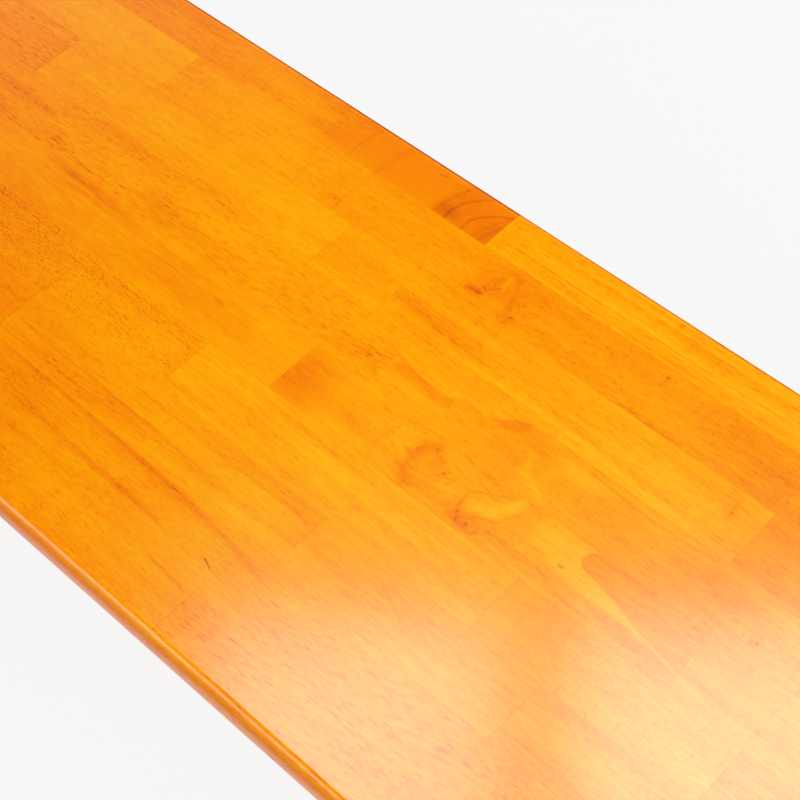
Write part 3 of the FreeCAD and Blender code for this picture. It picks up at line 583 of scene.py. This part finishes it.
def row_5(wood):
    """Streaks, a dark block end, two swirls and a rounded finger in pale wood."""
    wood.line(5.0, 0.18, [(-262, 18), (-215, 16), (-140, 12)], soft=40)
    wood.spot((-215, 8), (90, 22), 0.07)
    wood.line(2.5, 0.1, [(-262, 8), (-200, 9), (-130, 9.5)], soft=30)
    wood.line(1.0, 0.12, [(-140, 4), (-100, 5), (-68, 5)])
    wood.spot((-70, 5), (7, 2.4), 0.2)
    upper = [(-180, 13), (-70, 13), (-20, 8), (-5, 1.5)]
    lower = [(-180, -3), (-70, -9), (-20, -6), (-5, 0.5)]
    wood.zone(0.1, upper, lower, ends=60)
    wood.spot((4, -2), (40, 40), 0.24, block=4)
    wood.rings((10, 2), (30, 22), 4, 0.14, block=4)
    wood.calm((14, 0), (44, 32), 0.65, block=4)
    wood.line(4.0, 0.1, [(1, -14), (20, -15), (45, -16)], soft=20, block=4)
    wood.line(4.0, 0.09, [(1, 11), (20, 12), (45, 13)], soft=10, block=4)
    wood.eye((108, 5), (24, 16), 1.1)
    wood.rings((108, 6), (28, 28), 2.4, 0.12)
    wood.stroke(8.0, 0.17, [(107, 15), (101, 10), (99, 0), (101, -10), (108, -17)])
    wood.stroke(7.0, 0.07, [(110, 12), (116, 4), (122, 0), (130, 2)])
    wood.spot((112, -8), (16, 14), 0.04, core=0.4)
    wood.spot((87, 2), (11, 18), -0.16)
    wood.spot((70, 0), (16, 18), -0.07)
    wood.spot((131, -5), (10, 9), -0.08)
    wood.spot((121, 6), (9, 6), 0.1)
    wood.stroke(1.1, 0.24, [(108.3, 13), (108.8, 11)])
    wood.stroke(1.0, 0.14, [(112, 11), (114, 8)])
    wood.eye((153, -14), (16, 8), 1.3)
    wood.rings((153, -13), (20, 12), 2.6, 0.2)
    wood.spot((150, -12), (17, 11), 0.16, core=0.3)
    wood.stroke(2.2, 0.14, [(141, 0), (143, -10), (149, -17), (160, -17), (168, -10)])
    wood.stroke(8.0, -0.25, [(149, -4), (160, 2), (166, 8), (170, 16)])
    wood.stroke(1.3, 0.2, [(173.5, 20), (172.5, 9), (167, -2), (153, -7.5)])
    wood.stroke(1.4, 0.12, [(140, 3), (150, 9), (160, 15)])
    wood.spot((153.5, -14), (2.4, 1.6), 0.3)
    n = wood.n
    under = [(223, 6.6), (239, 4.4), (251, 1.4), (263, -1.6), (286, -6.2), (330, -14)]
    finger = wood.strip([(223, 19.4), (240, 21), (330, 22)], under, ends=0.5)
    finger = n.math("MAXIMUM", finger, n.fade(wood.away((223.5, 13), (7.4, 7.0)), 1, 0.7))
    below = [(176, 3), (196, 0), (215, -5), (261, -6), (330, -15)]
    pale = wood.strip([(176, 22), (330, 22)], below, soft=3, ends=17)
    wood.darken(n.times(pale, n.minus(1, finger)), -0.23)
    wood.darken(finger, 0.08)
    wood.stroke(1.6, 0.12, [(232, 5.6), (222, 7), (217, 11), (218.5, 16), (224, 19.5)])
    wood.spot((211, 0), (3.2, 2.2), 0.45)
    wood.spot((190, -6), (26, 7), -0.14)
    wood.spot((272, -10), (40, 7), 0.19, core=0.3)
    wood.spot((243, 12), (14, 6), -0.07)
    wood.line(2.4, 0.14, [(160, -10), (200, -9), (216, -14), (250, -17)], soft=20)
    wood.line(1.6, -0.15, [(168, -14.5), (190, -17.5), (215, -19.5)])


def row_6(wood):
    """Long fine lines and two paler patches."""
    wood.line(1.0, 0.14, [(-276, -24), (-160, -25), (-54, -24)])
    wood.line(1.0, 0.1, [(-276, -30), (-160, -31), (-54, -31)])
    wood.line(2.0, -0.08, [(-50, -30), (60, -32), (199, -34)], soft=30)
    wood.spot((62, -41), (46, 14), -0.11)
    wood.spot((-72, -41), (30, 14), -0.08)


def row_7(wood):
    """Fine lines, a darker band, a paler patch and two spots."""
    wood.line(1.0, 0.12, [(-64, -72.5), (20, -72), (92, -72.5)])
    wood.line(1.6, 0.14, [(-162, -85), (-60, -86), (27, -87)], soft=20)
    wood.spot((-80, -92), (80, 14), 0.13, core=0.3)
    wood.spot((55, -84), (44, 22), -0.12, core=0.3)
    wood.line(1.1, 0.14, [(56, -69.5), (75, -71), (92, -73.5)])
    wood.spot((151, -73), (10, 6), 0.09)
    wood.spot((135, -91), (9, 5), 0.1)


def row_8(wood):
    """Two slanting dark bands and a short dark dash."""
    band = [(-154, -101), (-60, -105), (27, -107.5), (92, -115), (106, -117.5)]
    wood.line(4.2, 0.17, band, soft=20)
    wood.line(1.5, 0.16, [(-154, -99.8), (-122, -101), (-84, -102.8)], soft=12)
    wood.line(1.0, 0.1, [(-50, -105.2), (-26, -106), (0, -106.8)], soft=12)
    wood.line(3.4, 0.14, [(-114, -125), (6, -127.5), (40, -131)], soft=20)
    wood.spot((10, -110), (70, 10), 0.1)
    wood.spot((70, -136), (26, 8), -0.07)
    wood.spot((-110, -126), (30, 8), 0.08)
    wood.spot((70, -117), (24, 5), 0.06)
    wood.stroke(0.8, 0.6, [(60.5, -126.6), (63.6, -127.5), (67, -128.6)])


def row_9(wood):
    """One dark line on the short block."""
    wood.line(1.3, 0.2, [(31, -146), (50, -147), (68, -149)])


MARKS = [row_1, row_2, row_3, row_4, row_5, row_6, row_7, row_8, row_9]


def joints_of(row):
    """Where the blocks of a strip meet on the seat's top, read from the strip's mesh, in millimetres."""
    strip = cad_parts[f"seat_strip_{row + 1}"]
    low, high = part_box(strip.name)
    inner_edge = high.y if row == STRIPS - 1 else low.y
    found = set()
    for vertex in strip.data.vertices:
        x, y, z = vertex.co
        on_line = abs(y - inner_edge) < 1e-5 and abs(z - SEAT_TOP) < 1e-5
        if on_line and abs(x) < HALF_LENGTH - 0.02:
            found.add(round(x * MM, 1))
    return sorted(found)


def finger_shift(n, z):
    """How far the fingers move an end joint along the seat at a height."""
    rise = n.math("DIVIDE", n.minus(TOP - SHOULDER, z), FINGER_PITCH)
    tooth = n.apart(n.times(n.math("FRACT", rise), 2), 1)
    under = n.math("LESS_THAN", z, TOP - SHOULDER)
    inside = n.times(under, n.math("GREATER_THAN", z, UNDERSIDE + SHOULDER))
    reach = n.times(n.minus(1, tooth), FINGER_LENGTH)
    return n.times(reach, inside)


def of_block(n, share, rows):
    """A colour that carries three numbers, which rows has for each block."""
    stops = [(index / len(rows), (*values, 1)) for index, values in enumerate(rows)]
    return n.ramp(share, stops, steps=True)[0]


def packed(value, reach):
    """A number within half of reach either way, as a share of 1."""
    return value / reach + 0.5


def unpacked(n, share, reach):
    return n.times(n.minus(share, 0.5), reach)


def edge_coat(n, y, z):
    """Share of the clear coat: full on top, thin on the back arris, and growing down the front edge."""
    on_front = n.fade(y, 1.6 - BACK, 0.8 - BACK)
    down = n.fade(z, TOP - 4, UNDERSIDE, 0.9, 0.1)
    on_back = n.fade(y, BACK - 6, BACK - 3)
    gone = n.plus(n.times(on_front, down), on_back)
    return n.minus(1, gone, clamp=True)


def painted_back_arris_shade(n, y, z):
    """Painted shade: a darker line along the back arris, where the rounded edge faces away from the lamps.
    """
    outer = n.fade(y, BACK - 3.4, BACK - 2.2, 0.0, 0.4)
    return n.times(outer, n.fade(z, TOP - 5, TOP - 3.5))


def drift(n, x, y):
    """Darker towards the left end, over a slanting border."""
    return n.fade(n.plus(x, n.times(y, 0.67)), -290, -50, 0.15, 0.0)


def glue_lines(n, row, along, joints, off_middle, half_width):
    """Thin dark lines where the blocks meet, darker at the ends of the front strips' blocks."""
    gaps = [n.apart(along, joint) for joint in joints]
    nearest = gaps[0]
    for gap in gaps[1:]:
        nearest = n.math("MINIMUM", nearest, gap)
    end_line = n.fade(nearest, LINE_WIDTH, 0, 0, 0.28 if row < 5 else 0.48)
    to_edge = n.minus(half_width, n.math("ABSOLUTE", off_middle))
    return n.math("MAXIMUM", end_line, n.fade(to_edge, LINE_WIDTH, 0, 0, 0.16))


def seat_material(row):
    material, n = new_material(f"seat_wood_{row + 1}")
    chance = random.Random(row + 11)
    x, y, z = n.split(n.place())
    along = n.minus(x, finger_shift(n, z))
    joints = joints_of(row)
    block = n.total([n.math("GREATER_THAN", along, joint) for joint in joints])
    low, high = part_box(f"seat_strip_{row + 1}")
    off_middle = n.minus(y, (low.y + high.y) / 2 * MM)
    half_width = (high.y - low.y) / 2 * MM

    looks = [(tone, *LOOKS[name]) for name, tone in ROWS[row]]
    seeds = [[chance.random() for _ in range(3)] for _ in looks]
    ends = [-END] + joints + [END]
    middles = [(a + b) / 2 for a, b in zip(ends, ends[1:])]
    shades, piths, lengths = [], [], []
    for (tone, bands, pores, aside, below, slope, reach), middle in zip(looks, middles):
        shades.append((tone, bands, pores / DENSEST_PORES))
        piths.append((packed(aside, PITH_RANGE), packed(below, PITH_RANGE), packed(slope, SLOPE_RANGE)))
        lengths.append((packed(middle, MIDDLE_RANGE), reach, 0))
    share = n.math("DIVIDE", n.plus(block, 0.5), len(looks))
    tone, bands, pores = n.split(of_block(n, share, shades))
    aside, below, slope = n.split(of_block(n, share, piths))
    middle, reach = n.split(of_block(n, share, lengths))[:2]
    seed = n.vector("SCALE", of_block(n, share, seeds), SEED_RANGE)

    marks = Marks(n, x, y, block)
    MARKS[row](marks)
    slow = n.vector("ADD", n.vector("MULTIPLY", n.place(), (0.006, 0.012, 0.012)), seed)
    wander = n.times(n.noise(slow, detail=1), 12)
    lift = n.times(unpacked(n, slope, SLOPE_RANGE), n.minus(x, unpacked(n, middle, MIDDLE_RANGE)))
    grain_y = n.total([off_middle, lift, wander] + marks.bends)
    grain = n.join(x, grain_y, n.minus(z, TOP))
    pith = n.join(0, unpacked(n, aside, PITH_RANGE), unpacked(n, below, PITH_RANGE))
    pores = n.times(n.times(pores, DENSEST_PORES), marks.lively)
    figured, pore, height = figure(n, grain, pith, seed, bands, pores, reach)
    lines = glue_lines(n, row, along, joints, off_middle, half_width)
    # The last tone is painted shade along the back arris.
    tones = [tone, n.times(figured, marks.lively), drift(n, x, y), lines, painted_back_arris_shade(n, y, z)]
    lacquered(n, n.total(tones + marks.tones), pore, height, edge_coat(n, y, z))
    return material


# Frame wood

# Unstained wood of the braces and corner blocks, and beech of the dowels, palest first
NATURAL = [
    (0.0, (0.74, 0.47, 0.2, 1)),
    (0.45, (0.62, 0.36, 0.13, 1)),
    (1.0, (0.3, 0.13, 0.04, 1)),
]
BEECH = [
    (0.0, (0.7, 0.5, 0.28, 1)),
    (0.5, (0.62, 0.42, 0.22, 1)),
    (1.0, (0.35, 0.19, 0.09, 1)),
]
END_GRAIN = 0.22


def oiled(n, tone, pore, height, palette):
    """Bare or thinly sealed wood with a satin surface."""
    shade = n.plus(tone, n.times(pore, 0.3), clamp=True)
    colour = n.ramp(shade, palette)[0]
    roughness = n.plus(n.times(shade, 0.2), 0.45)
    n.surface(colour, roughness, n.bump(height, 0.5, 0.0001), Specular_IOR_Level=0.4)


def along_grain(n, name, grain):
    """Place in a node, turned so that its grain is along X, and how much it faces along the grain."""
    low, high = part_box(name)
    centred = n.vector("SUBTRACT", n.place(), tuple((low + high) / 2 * MM))
    side = Vector((1, 0, 0)) if abs(grain.z) > 0.9 else Vector((-grain.y, grain.x, 0))
    up = grain.cross(side)
    turned_place = [n.vector("DOT_PRODUCT", centred, tuple(axis)) for axis in (grain, side, up)]
    facing = n.vector("DOT_PRODUCT", n.node("NewGeometry").outputs["True Normal"], tuple(grain))
    return turned_place, n.math("ABSOLUTE", facing)


def wood_tone(n, name, grain, look, chance):
    """Tone, pores and dents of a node that is one straight-grained stick."""
    (x, y, z), facing = along_grain(n, name, grain)
    tone, (bands, pores, pith_y, pith_z, slope, reach) = look
    seed = Vector((chance.random(), chance.random(), chance.random())) * SEED_RANGE
    slow = n.vector("ADD", n.join(n.times(x, 0.005), n.times(z, 0.01), 0), tuple(seed))
    wander = n.times(n.noise(slow, detail=1), 12)
    grain_y = n.total([y, wander, n.times(x, slope)])
    grain_place = n.join(x, grain_y, z)
    made, pore, height = figure(n, grain_place, (0, pith_y, pith_z), tuple(seed), bands, pores, reach)
    dark = n.fade(facing, 0.6, 0.95, 0.0, END_GRAIN)
    return n.total([made, dark, tone]), pore, height


def dress(name, material):
    """Gives a node of the frame its material."""
    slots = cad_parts[name].data.materials
    slots.clear()
    slots.append(material)


def dress_stained(name, grain, look, tone, seed):
    material, n = new_material(f"stained_{name}")
    lacquered(n, *wood_tone(n, name, Vector(grain), (tone, LOOKS[look]), random.Random(seed)))
    dress(name, material)


def dress_natural(name, grain, look, seed, palette):
    material, n = new_material(f"natural_{name}")
    oiled(n, *wood_tone(n, name, Vector(grain).normalized(), look, random.Random(seed)), palette)
    dress(name, material)


# The signs of each corner's place along X and Y
CORNERS = {"front_left": (-1, -1), "front_right": (1, -1), "back_left": (-1, 1), "back_right": (1, 1)}
LEG_LOOKS = [("lined", 0.43), ("streaky", 0.38), ("deep", 0.47), ("dashed", 0.4)]
SATIN_LOOK = (0.4, (0.7, 0.35, 25, -40, 0.0, 0.6))
BEECH_LOOK = (0.4, (0.4, 0.6, 5, -8, 0.0, 0.3))


def dress_frame():
    for seed, (corner, (look, tone)) in enumerate(zip(CORNERS, LEG_LOOKS)):
        dress_stained(f"leg_{corner}", (0, 0, 1), look, tone, seed)
        sign_x, sign_y = CORNERS[corner]
        diagonal = (sign_x, -sign_y, 0)
        dress_natural(f"corner_block_{corner}", diagonal, SATIN_LOOK, seed + 20, NATURAL)
    for seed, (end, look, tone) in enumerate((("front", "lined", 0.4), ("back", "streaky", 0.45))):
        dress_stained(f"apron_{end}", (1, 0, 0), look, tone, seed + 40)
    for seed, (side, look, tone) in enumerate((("left", "deep", 0.44), ("right", "grained", 0.39))):
        dress_stained(f"apron_{side}", (0, 1, 0), look, tone, seed + 50)
        dress_natural(f"seat_brace_{side}", (0, 1, 0), SATIN_LOOK, seed + 60, NATURAL)
    dress_natural("apron_dowels", (1, 0, 0), BEECH_LOOK, 70, BEECH)
    dress_natural("brace_dowels", (0, 1, 0), BEECH_LOOK, 71, BEECH)


# Fittings

def metal(name, colour, shine, grain=0.9):
    """Plated steel: a cloudy tint, fine scratches and uneven gloss. shine is its mean roughness."""
    material, n = new_material(name)
    place = n.place()
    cloud = n.noise(place, scale=0.22, detail=3)
    speck = n.noise(place, scale=grain)
    mark = n.noise(n.vector("MULTIPLY", place, (0.6, 4.0, 2.2)))
    shade = n.total([n.times(cloud, 0.9), n.times(speck, 0.35), 0.5])
    deep = tuple(0.62 * part for part in colour)
    tint = n.ramp(shade, [(0.2, (*deep, 1)), (0.75, (*colour, 1))])[0]
    roughness = n.total([n.times(mark, 0.22), n.times(cloud, 0.12), shine])
    height = n.plus(n.times(mark, 0.7), speck)
    n.surface(tint, roughness, n.bump(height, 0.25, 0.00006), Metallic=1.0)
    return material


def nylon(name):
    """Moulded dark brown nylon with a fine matt texture and scuffs."""
    material, n = new_material(name)
    place = n.place()
    cloud = n.noise(place, scale=0.12, detail=3)
    grit = n.noise(place, scale=2.6)
    scuff = n.fade(n.noise(n.vector("MULTIPLY", place, (0.3, 2.4, 0.3))), 0.12, 0.3)
    shade = n.total([n.times(cloud, 0.8), n.times(grit, 0.25), 0.5])
    tint = n.ramp(shade, [(0.2, (0.045, 0.028, 0.018, 1)), (0.8, (0.1, 0.066, 0.044, 1))])[0]
    worn = n.blend(n.times(scuff, 0.35), tint, (0.22, 0.17, 0.13, 1))
    roughness = n.total([n.times(grit, 0.2), n.times(scuff, 0.12), 0.46])
    n.surface(worn, roughness, n.bump(grit, 0.4, 0.0001), Specular_IOR_Level=0.4)
    return material


def turned(rings, sides):
    """Points and faces of a closed shape round Z. A ring turns an angle into (radius, height)."""
    points = []
    for ring in rings:
        for step in range(sides):
            angle = math.tau * step / sides
            radius, height = ring(angle)
            points.append(Vector((radius * math.cos(angle), radius * math.sin(angle), height)))
    faces = []
    for row in range(len(rings) - 1):
        for step in range(sides):
            after = (step + 1) % sides
            low, high = row * sides, (row + 1) * sides
            faces.append((low + step, low + after, high + after, high + step))
    last = (len(rings) - 1) * sides
    points.append(Vector((0, 0, rings[0](0)[1])))
    points.append(Vector((0, 0, rings[-1](0)[1])))
    for step in range(sides):
        after = (step + 1) % sides
        faces.append((after, step, len(points) - 2))
        faces.append((last + step, last + after, len(points) - 1))
    return points, faces


def thread_ring(height, radius, depth, pitch, width):
    """A ring of a right-hand screw thread. width is the ridge's share of the pitch."""
    def ring(angle):
        turn = (height / pitch - angle / math.tau) % 1
        ridge = max(0.0, 1 - abs(turn - 0.5) / (width / 2))
        return radius - depth * (1 - ridge), height
    return ring


def plain_ring(radius, height):
    return lambda angle: (radius, height)


def threaded(start, end, rows, radius, depth, pitch, width, point=0):
    """Rings of a thread from start to end, whose first part may taper to a point of that length."""
    rings = []
    for row in range(rows + 1):
        height = start + (end - start) * row / rows
        slim = min(1.0, 0.12 + 0.88 * height / point) if point else 1.0
        rings.append(thread_ring(height, radius * slim, depth * slim, pitch, width))
    return rings


SCREW_RADIUS = 2.0
SCREW_HEAD = 4.0
SCREW_RISE = 3.0
SCREW_POINT = 6.0
SCREW_PITCH = 2.0
SCREW_SIDES = 40
RINGS_PER_TURN = 6
DOME = [(1.0, 0.0), (1.0, 0.35), (0.97, 0.52), (0.88, 0.7), (0.74, 0.84), (0.6, 0.93), (0.52, 0.96)]
RECESS_RADIUS = 2.05
RECESS_DEPTH = 1.7
RECESS_ARM = 0.42
RECESS_WALL = 0.3
RECESS_RINGS = 9


def recess_ring(radius, top):
    """A ring on a screw head's crown, sunk where the cross recess is."""
    def ring(angle):
        aside = min(abs(radius * math.cos(angle)), abs(radius * math.sin(angle)))
        inside = max(0.0, min(1.0, (RECESS_ARM + RECESS_WALL - aside) / RECESS_WALL))
        fall = max(0.0, 1 - radius / RECESS_RADIUS) ** 0.45
        return radius, top - RECESS_DEPTH * fall * inside
    return ring


def screw_shape(length):
    """A wood screw from its point at 0 to the underside of its head at length, with the head above."""
    threads_end = 0.68 * length
    rows = int(threads_end / SCREW_PITCH * RINGS_PER_TURN)
    thread = {"radius": SCREW_RADIUS, "depth": 0.62, "pitch": SCREW_PITCH, "width": 0.5}
    rings = threaded(0.0, threads_end, rows, point=SCREW_POINT, **thread)
    rings += [plain_ring(1.55, threads_end + 0.4), plain_ring(SCREW_RADIUS, threads_end + 1.2)]
    rings.append(plain_ring(SCREW_RADIUS, length))
    rings += [plain_ring(SCREW_HEAD * wide, length + SCREW_RISE * high) for wide, high in DOME]
    crown = length + SCREW_RISE
    for step in range(RECESS_RINGS):
        radius = RECESS_RADIUS * (1 - step / RECESS_RINGS)
        rise = 0.04 * SCREW_RISE * min(1.0, radius / RECESS_RADIUS)
        rings.append(recess_ring(radius, crown - rise))
    return turned(rings, SCREW_SIDES)


BOLT_LENGTH = 83.0
BOLT_RADIUS = 4.0
BOLT_POINT = 6.0
BOLT_SIDES = 32


def bolt_shape():
    """A hanger bolt: coarse wood thread, plain waist and M8 machine thread."""
    coarse = {"radius": BOLT_RADIUS, "depth": 1.1, "pitch": 3.4, "width": 0.42}
    fine = {"radius": BOLT_RADIUS, "depth": 0.68, "pitch": 1.25, "width": 1.0}
    rings = threaded(0.0, 38.0, 110, point=BOLT_POINT, **coarse)
    rings += [plain_ring(3.2, 38.8), plain_ring(BOLT_RADIUS, 40.2), plain_ring(BOLT_RADIUS, 47.0)]
    rings += threaded(47.4, 81.8, 165, **fine)
    rings += [plain_ring(3.4, 82.2), plain_ring(3.0, BOLT_LENGTH), plain_ring(1.2, BOLT_LENGTH)]
    return turned(rings, BOLT_SIDES)


def add_copies(name, shape, places, material, chance):
    """One piece with a copy of a shape at each place. places is [(point, direction of its Z)]."""
    points, faces = shape
    all_points, all_faces = [], []
    for point, direction in places:
        spin = Matrix.Rotation(chance.uniform(0, math.tau), 3, "Z")
        turn = Vector(direction).to_track_quat("Z", "Y").to_matrix() @ spin
        first = len(all_points)
        all_points += [(turn @ spot + Vector(point)) / MM for spot in points]
        all_faces += [tuple(first + index for index in face) for face in faces]
    mesh = bpy.data.meshes.new(name)
    mesh.from_pydata(all_points, [], all_faces)
    mesh.polygons.foreach_set("use_smooth", [True] * len(mesh.polygons))
    mesh.set_sharp_from_angle(angle=math.radians(50))
    mesh.materials.append(material)
    piece = new_object(name, mesh)
    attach(piece, "root")
    return piece


# Inner faces of the aprons, and the middle of their height
INNER_X = 516
INNER_Y = 122
APRON_HEIGHT = 64
APRON_MIDDLE = UNDERSIDE - APRON_HEIGHT / 2
BLOCK_SCREW_REACH = 55
BLOCK_SCREW_SPREAD = 14
BLOCK_SCREW_GRIP = 8
BLOCK_SCREW_BITE = 16
# A corner block's middle from the inner faces, and its seat screws from that middle
BLOCK_MIDDLE = 27.6
SEAT_SCREW_OFFSET = 14.5
SEAT_SCREW_GRIP = 20
SEAT_SCREW_BITE = 15
BRACE_SCREW_X = 180
BRACE_SCREW_Y = 82.6
# How far past the inner faces a hanger bolt's point is
BOLT_POINT_PAST = 7.75


def seat_screw_places():
    tip = UNDERSIDE + SEAT_SCREW_BITE
    places = []
    for sign_x, sign_y in CORNERS.values():
        for off in (-SEAT_SCREW_OFFSET, SEAT_SCREW_OFFSET):
            x = sign_x * (INNER_X - BLOCK_MIDDLE - off)
            y = sign_y * (INNER_Y - BLOCK_MIDDLE + off)
            places.append(((x, y, tip), (0, 0, -1)))
        places.append(((sign_x * BRACE_SCREW_X, sign_y * BRACE_SCREW_Y, tip), (0, 0, -1)))
    return places


def block_screw_places():
    places = []
    for sign_x, sign_y in CORNERS.values():
        tip_x = sign_x * (INNER_X + BLOCK_SCREW_BITE)
        tip_y = sign_y * (INNER_Y + BLOCK_SCREW_BITE)
        near_x = sign_x * (INNER_X - BLOCK_SCREW_REACH)
        near_y = sign_y * (INNER_Y - BLOCK_SCREW_REACH)
        for z in (APRON_MIDDLE - BLOCK_SCREW_SPREAD, APRON_MIDDLE + BLOCK_SCREW_SPREAD):
            places.append(((near_x, tip_y, z), (0, -sign_y, 0)))
            places.append(((tip_x, near_y, z), (-sign_x, 0, 0)))
    return places


def bolt_places():
    places = []
    for sign_x, sign_y in CORNERS.values():
        x = sign_x * (INNER_X + BOLT_POINT_PAST)
        y = sign_y * (INNER_Y + BOLT_POINT_PAST)
        places.append(((x, y, APRON_MIDDLE), (-sign_x, -sign_y, 0)))
    return places


def round_over(name, width):
    """Softens a node's edges by a small bevel."""
    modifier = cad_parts[name].modifiers.new("softened", "BEVEL")
    modifier.width = width
    modifier.segments = 2
    modifier.limit_method = "ANGLE"
    modifier.angle_limit = math.radians(30)


def add_fittings():
    chance = random.Random(5)
    yellow = metal("yellow_zinc", (0.72, 0.6, 0.36), 0.34)
    silver = metal("zinc", (0.68, 0.7, 0.72), 0.38)
    screws = screw_shape(SEAT_SCREW_GRIP + SEAT_SCREW_BITE)
    piece = add_copies("seat_screw_set", screws, seat_screw_places(), yellow, chance)
    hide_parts("seat_screws")
    screws = screw_shape(BLOCK_SCREW_GRIP + BLOCK_SCREW_BITE)
    piece = add_copies("block_screw_set", screws, block_screw_places(), yellow, chance)
    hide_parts("corner_block_screws")
    piece = add_copies("hanger_bolt_set", bolt_shape(), bolt_places(), silver, chance)
    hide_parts("hanger_bolts")
    dress("bolt_washers", silver)
    round_over("bolt_washers", 0.0002)
    dress("wing_nuts", metal("cast_zinc", (0.66, 0.68, 0.7), 0.44, 1.6))
    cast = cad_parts["wing_nuts"].modifiers.new("cast", "REMESH")
    cast.mode = "VOXEL"
    cast.voxel_size = 0.0004
    cast.use_smooth_shade = True
    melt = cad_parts["wing_nuts"].modifiers.new("melt", "SMOOTH")
    melt.iterations = 4
    dress("foot_glides", nylon("brown_nylon"))
    dress("glide_nails", metal("nail_steel", (0.6, 0.6, 0.62), 0.3))
    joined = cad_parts["glide_nails"].modifiers.new("joined", "WELD")
    joined.merge_threshold = 0.00001


# Stage

def make_camera():
    data = bpy.data.cameras.new("camera")
    data.lens = CAMERA_LENS
    camera = new_object("camera", data)
    up = CAMERA_RIGHT.cross(CAMERA_AHEAD)
    turn = Matrix((CAMERA_RIGHT, up, -CAMERA_AHEAD)).transposed()
    camera.matrix_world = Matrix.Translation(CAMERA_PLACE) @ turn.to_4x4()
    bpy.context.scene.camera = camera


def seen_directly(n):
    """1 for light that reaches the camera straight, by a reflection or through glass."""
    rays = n.node("LightPath").outputs
    sum_of = n.plus(rays["Is Camera Ray"], rays["Is Glossy Ray"])
    return n.plus(sum_of, rays["Is Transmission Ray"], clamp=True)


# How much of the floor's look is plain white, so that the rest keeps the bench's shadow
FLOOR_WHITE = 0.84
WALL_SEEN = 0.89
WALL_LIGHT = 0.6


def make_floor():
    size = 30
    mesh = bpy.data.meshes.new("floor")
    corners = [(-size, -size, 0), (size, -size, 0), (size, size, 0), (-size, size, 0)]
    mesh.from_pydata(corners, [], [(0, 1, 2, 3)])
    floor = new_object("floor", mesh)
    material, n = new_material("floor")
    plain = n.node("BsdfDiffuse")
    plain.inputs["Color"].default_value = (0.86, 0.86, 0.86, 1)
    white = n.node("Emission")
    share = n.times(seen_directly(n), FLOOR_WHITE)
    top = n.filled(n.node("MixShader"), share, plain.outputs[0], white.outputs[0])
    clear = n.node("BsdfTransparent")
    from_below = n.node("NewGeometry").outputs["Backfacing"]
    look = n.filled(n.node("MixShader"), from_below, top, clear.outputs[0])
    n.feed(n.node("OutputMaterial").inputs["Surface"], look)
    mesh.materials.append(material)


def make_world():
    """A white studio wall all round, which ends under a dark ceiling."""
    world = bpy.data.worlds.new("studio")
    world.use_nodes = True
    world.node_tree.nodes.clear()
    n = Nodes(world.node_tree)
    height = n.split(n.node("TexCoord").outputs["Generated"])[2]
    wall = n.fade(height, 0.58, 0.7, 1.0, 0.0)
    light = n.times(wall, n.fade(seen_directly(n), 0, 1, WALL_LIGHT, WALL_SEEN))
    back = n.node("Background")
    back.inputs["Color"].default_value = (1, 1, 1, 1)
    n.feed(back.inputs["Strength"], light)
    n.feed(n.node("OutputWorld").inputs["Surface"], back.outputs[0])
    bpy.context.scene.world = world


def make_softbox(name, place, aim, size, radiance, turn=0):
    """A rectangular lamp with one even radiance over its face."""
    data = bpy.data.lights.new(name, "AREA")
    data.shape = "RECTANGLE"
    data.size, data.size_y = size
    data.energy = radiance * math.pi * size[0] * size[1]
    lamp = new_object(name, data)
    lamp.matrix_world = (
        Matrix.Translation(place)
        @ (Vector(aim) - Vector(place)).to_track_quat("-Z", "Y").to_matrix().to_4x4()
        @ Matrix.Rotation(math.radians(turn), 4, "Z")
    )
    lamp.visible_camera = False


def make_lamps():
    """Two boxes overhead, whose reflections lie on the seat, and two that fill the sides."""
    level = SEAT_TOP + 1.5
    turn = 41.1
    seat = (0, 0, SEAT_TOP)
    # The first two aim down, 0.1 mm aside, since straight down would leave their turn open
    make_softbox("long_box", (0.202, 0.666, level), (0.202, 0.6661, 0), (0.835, 0.6), 7.0, turn)
    make_softbox("short_box", (-0.348, 0.185, level), (-0.348, 0.1851, 0), (0.425, 0.6), 6.0, turn)
    make_softbox("fill_box", (1.3, -0.9, 2.0), seat, (1.6, 1.6), 2.2)
    make_softbox("front_box", (-0.9, -1.5, 1.7), seat, (1.8, 0.9), 2.2)


bpy.context.scene.view_settings.view_transform = "Standard"
make_camera()
make_floor()
make_world()
make_lamps()

for row in range(STRIPS):
    dress(f"seat_strip_{row + 1}", seat_material(row))
dress_frame()
add_fittings()
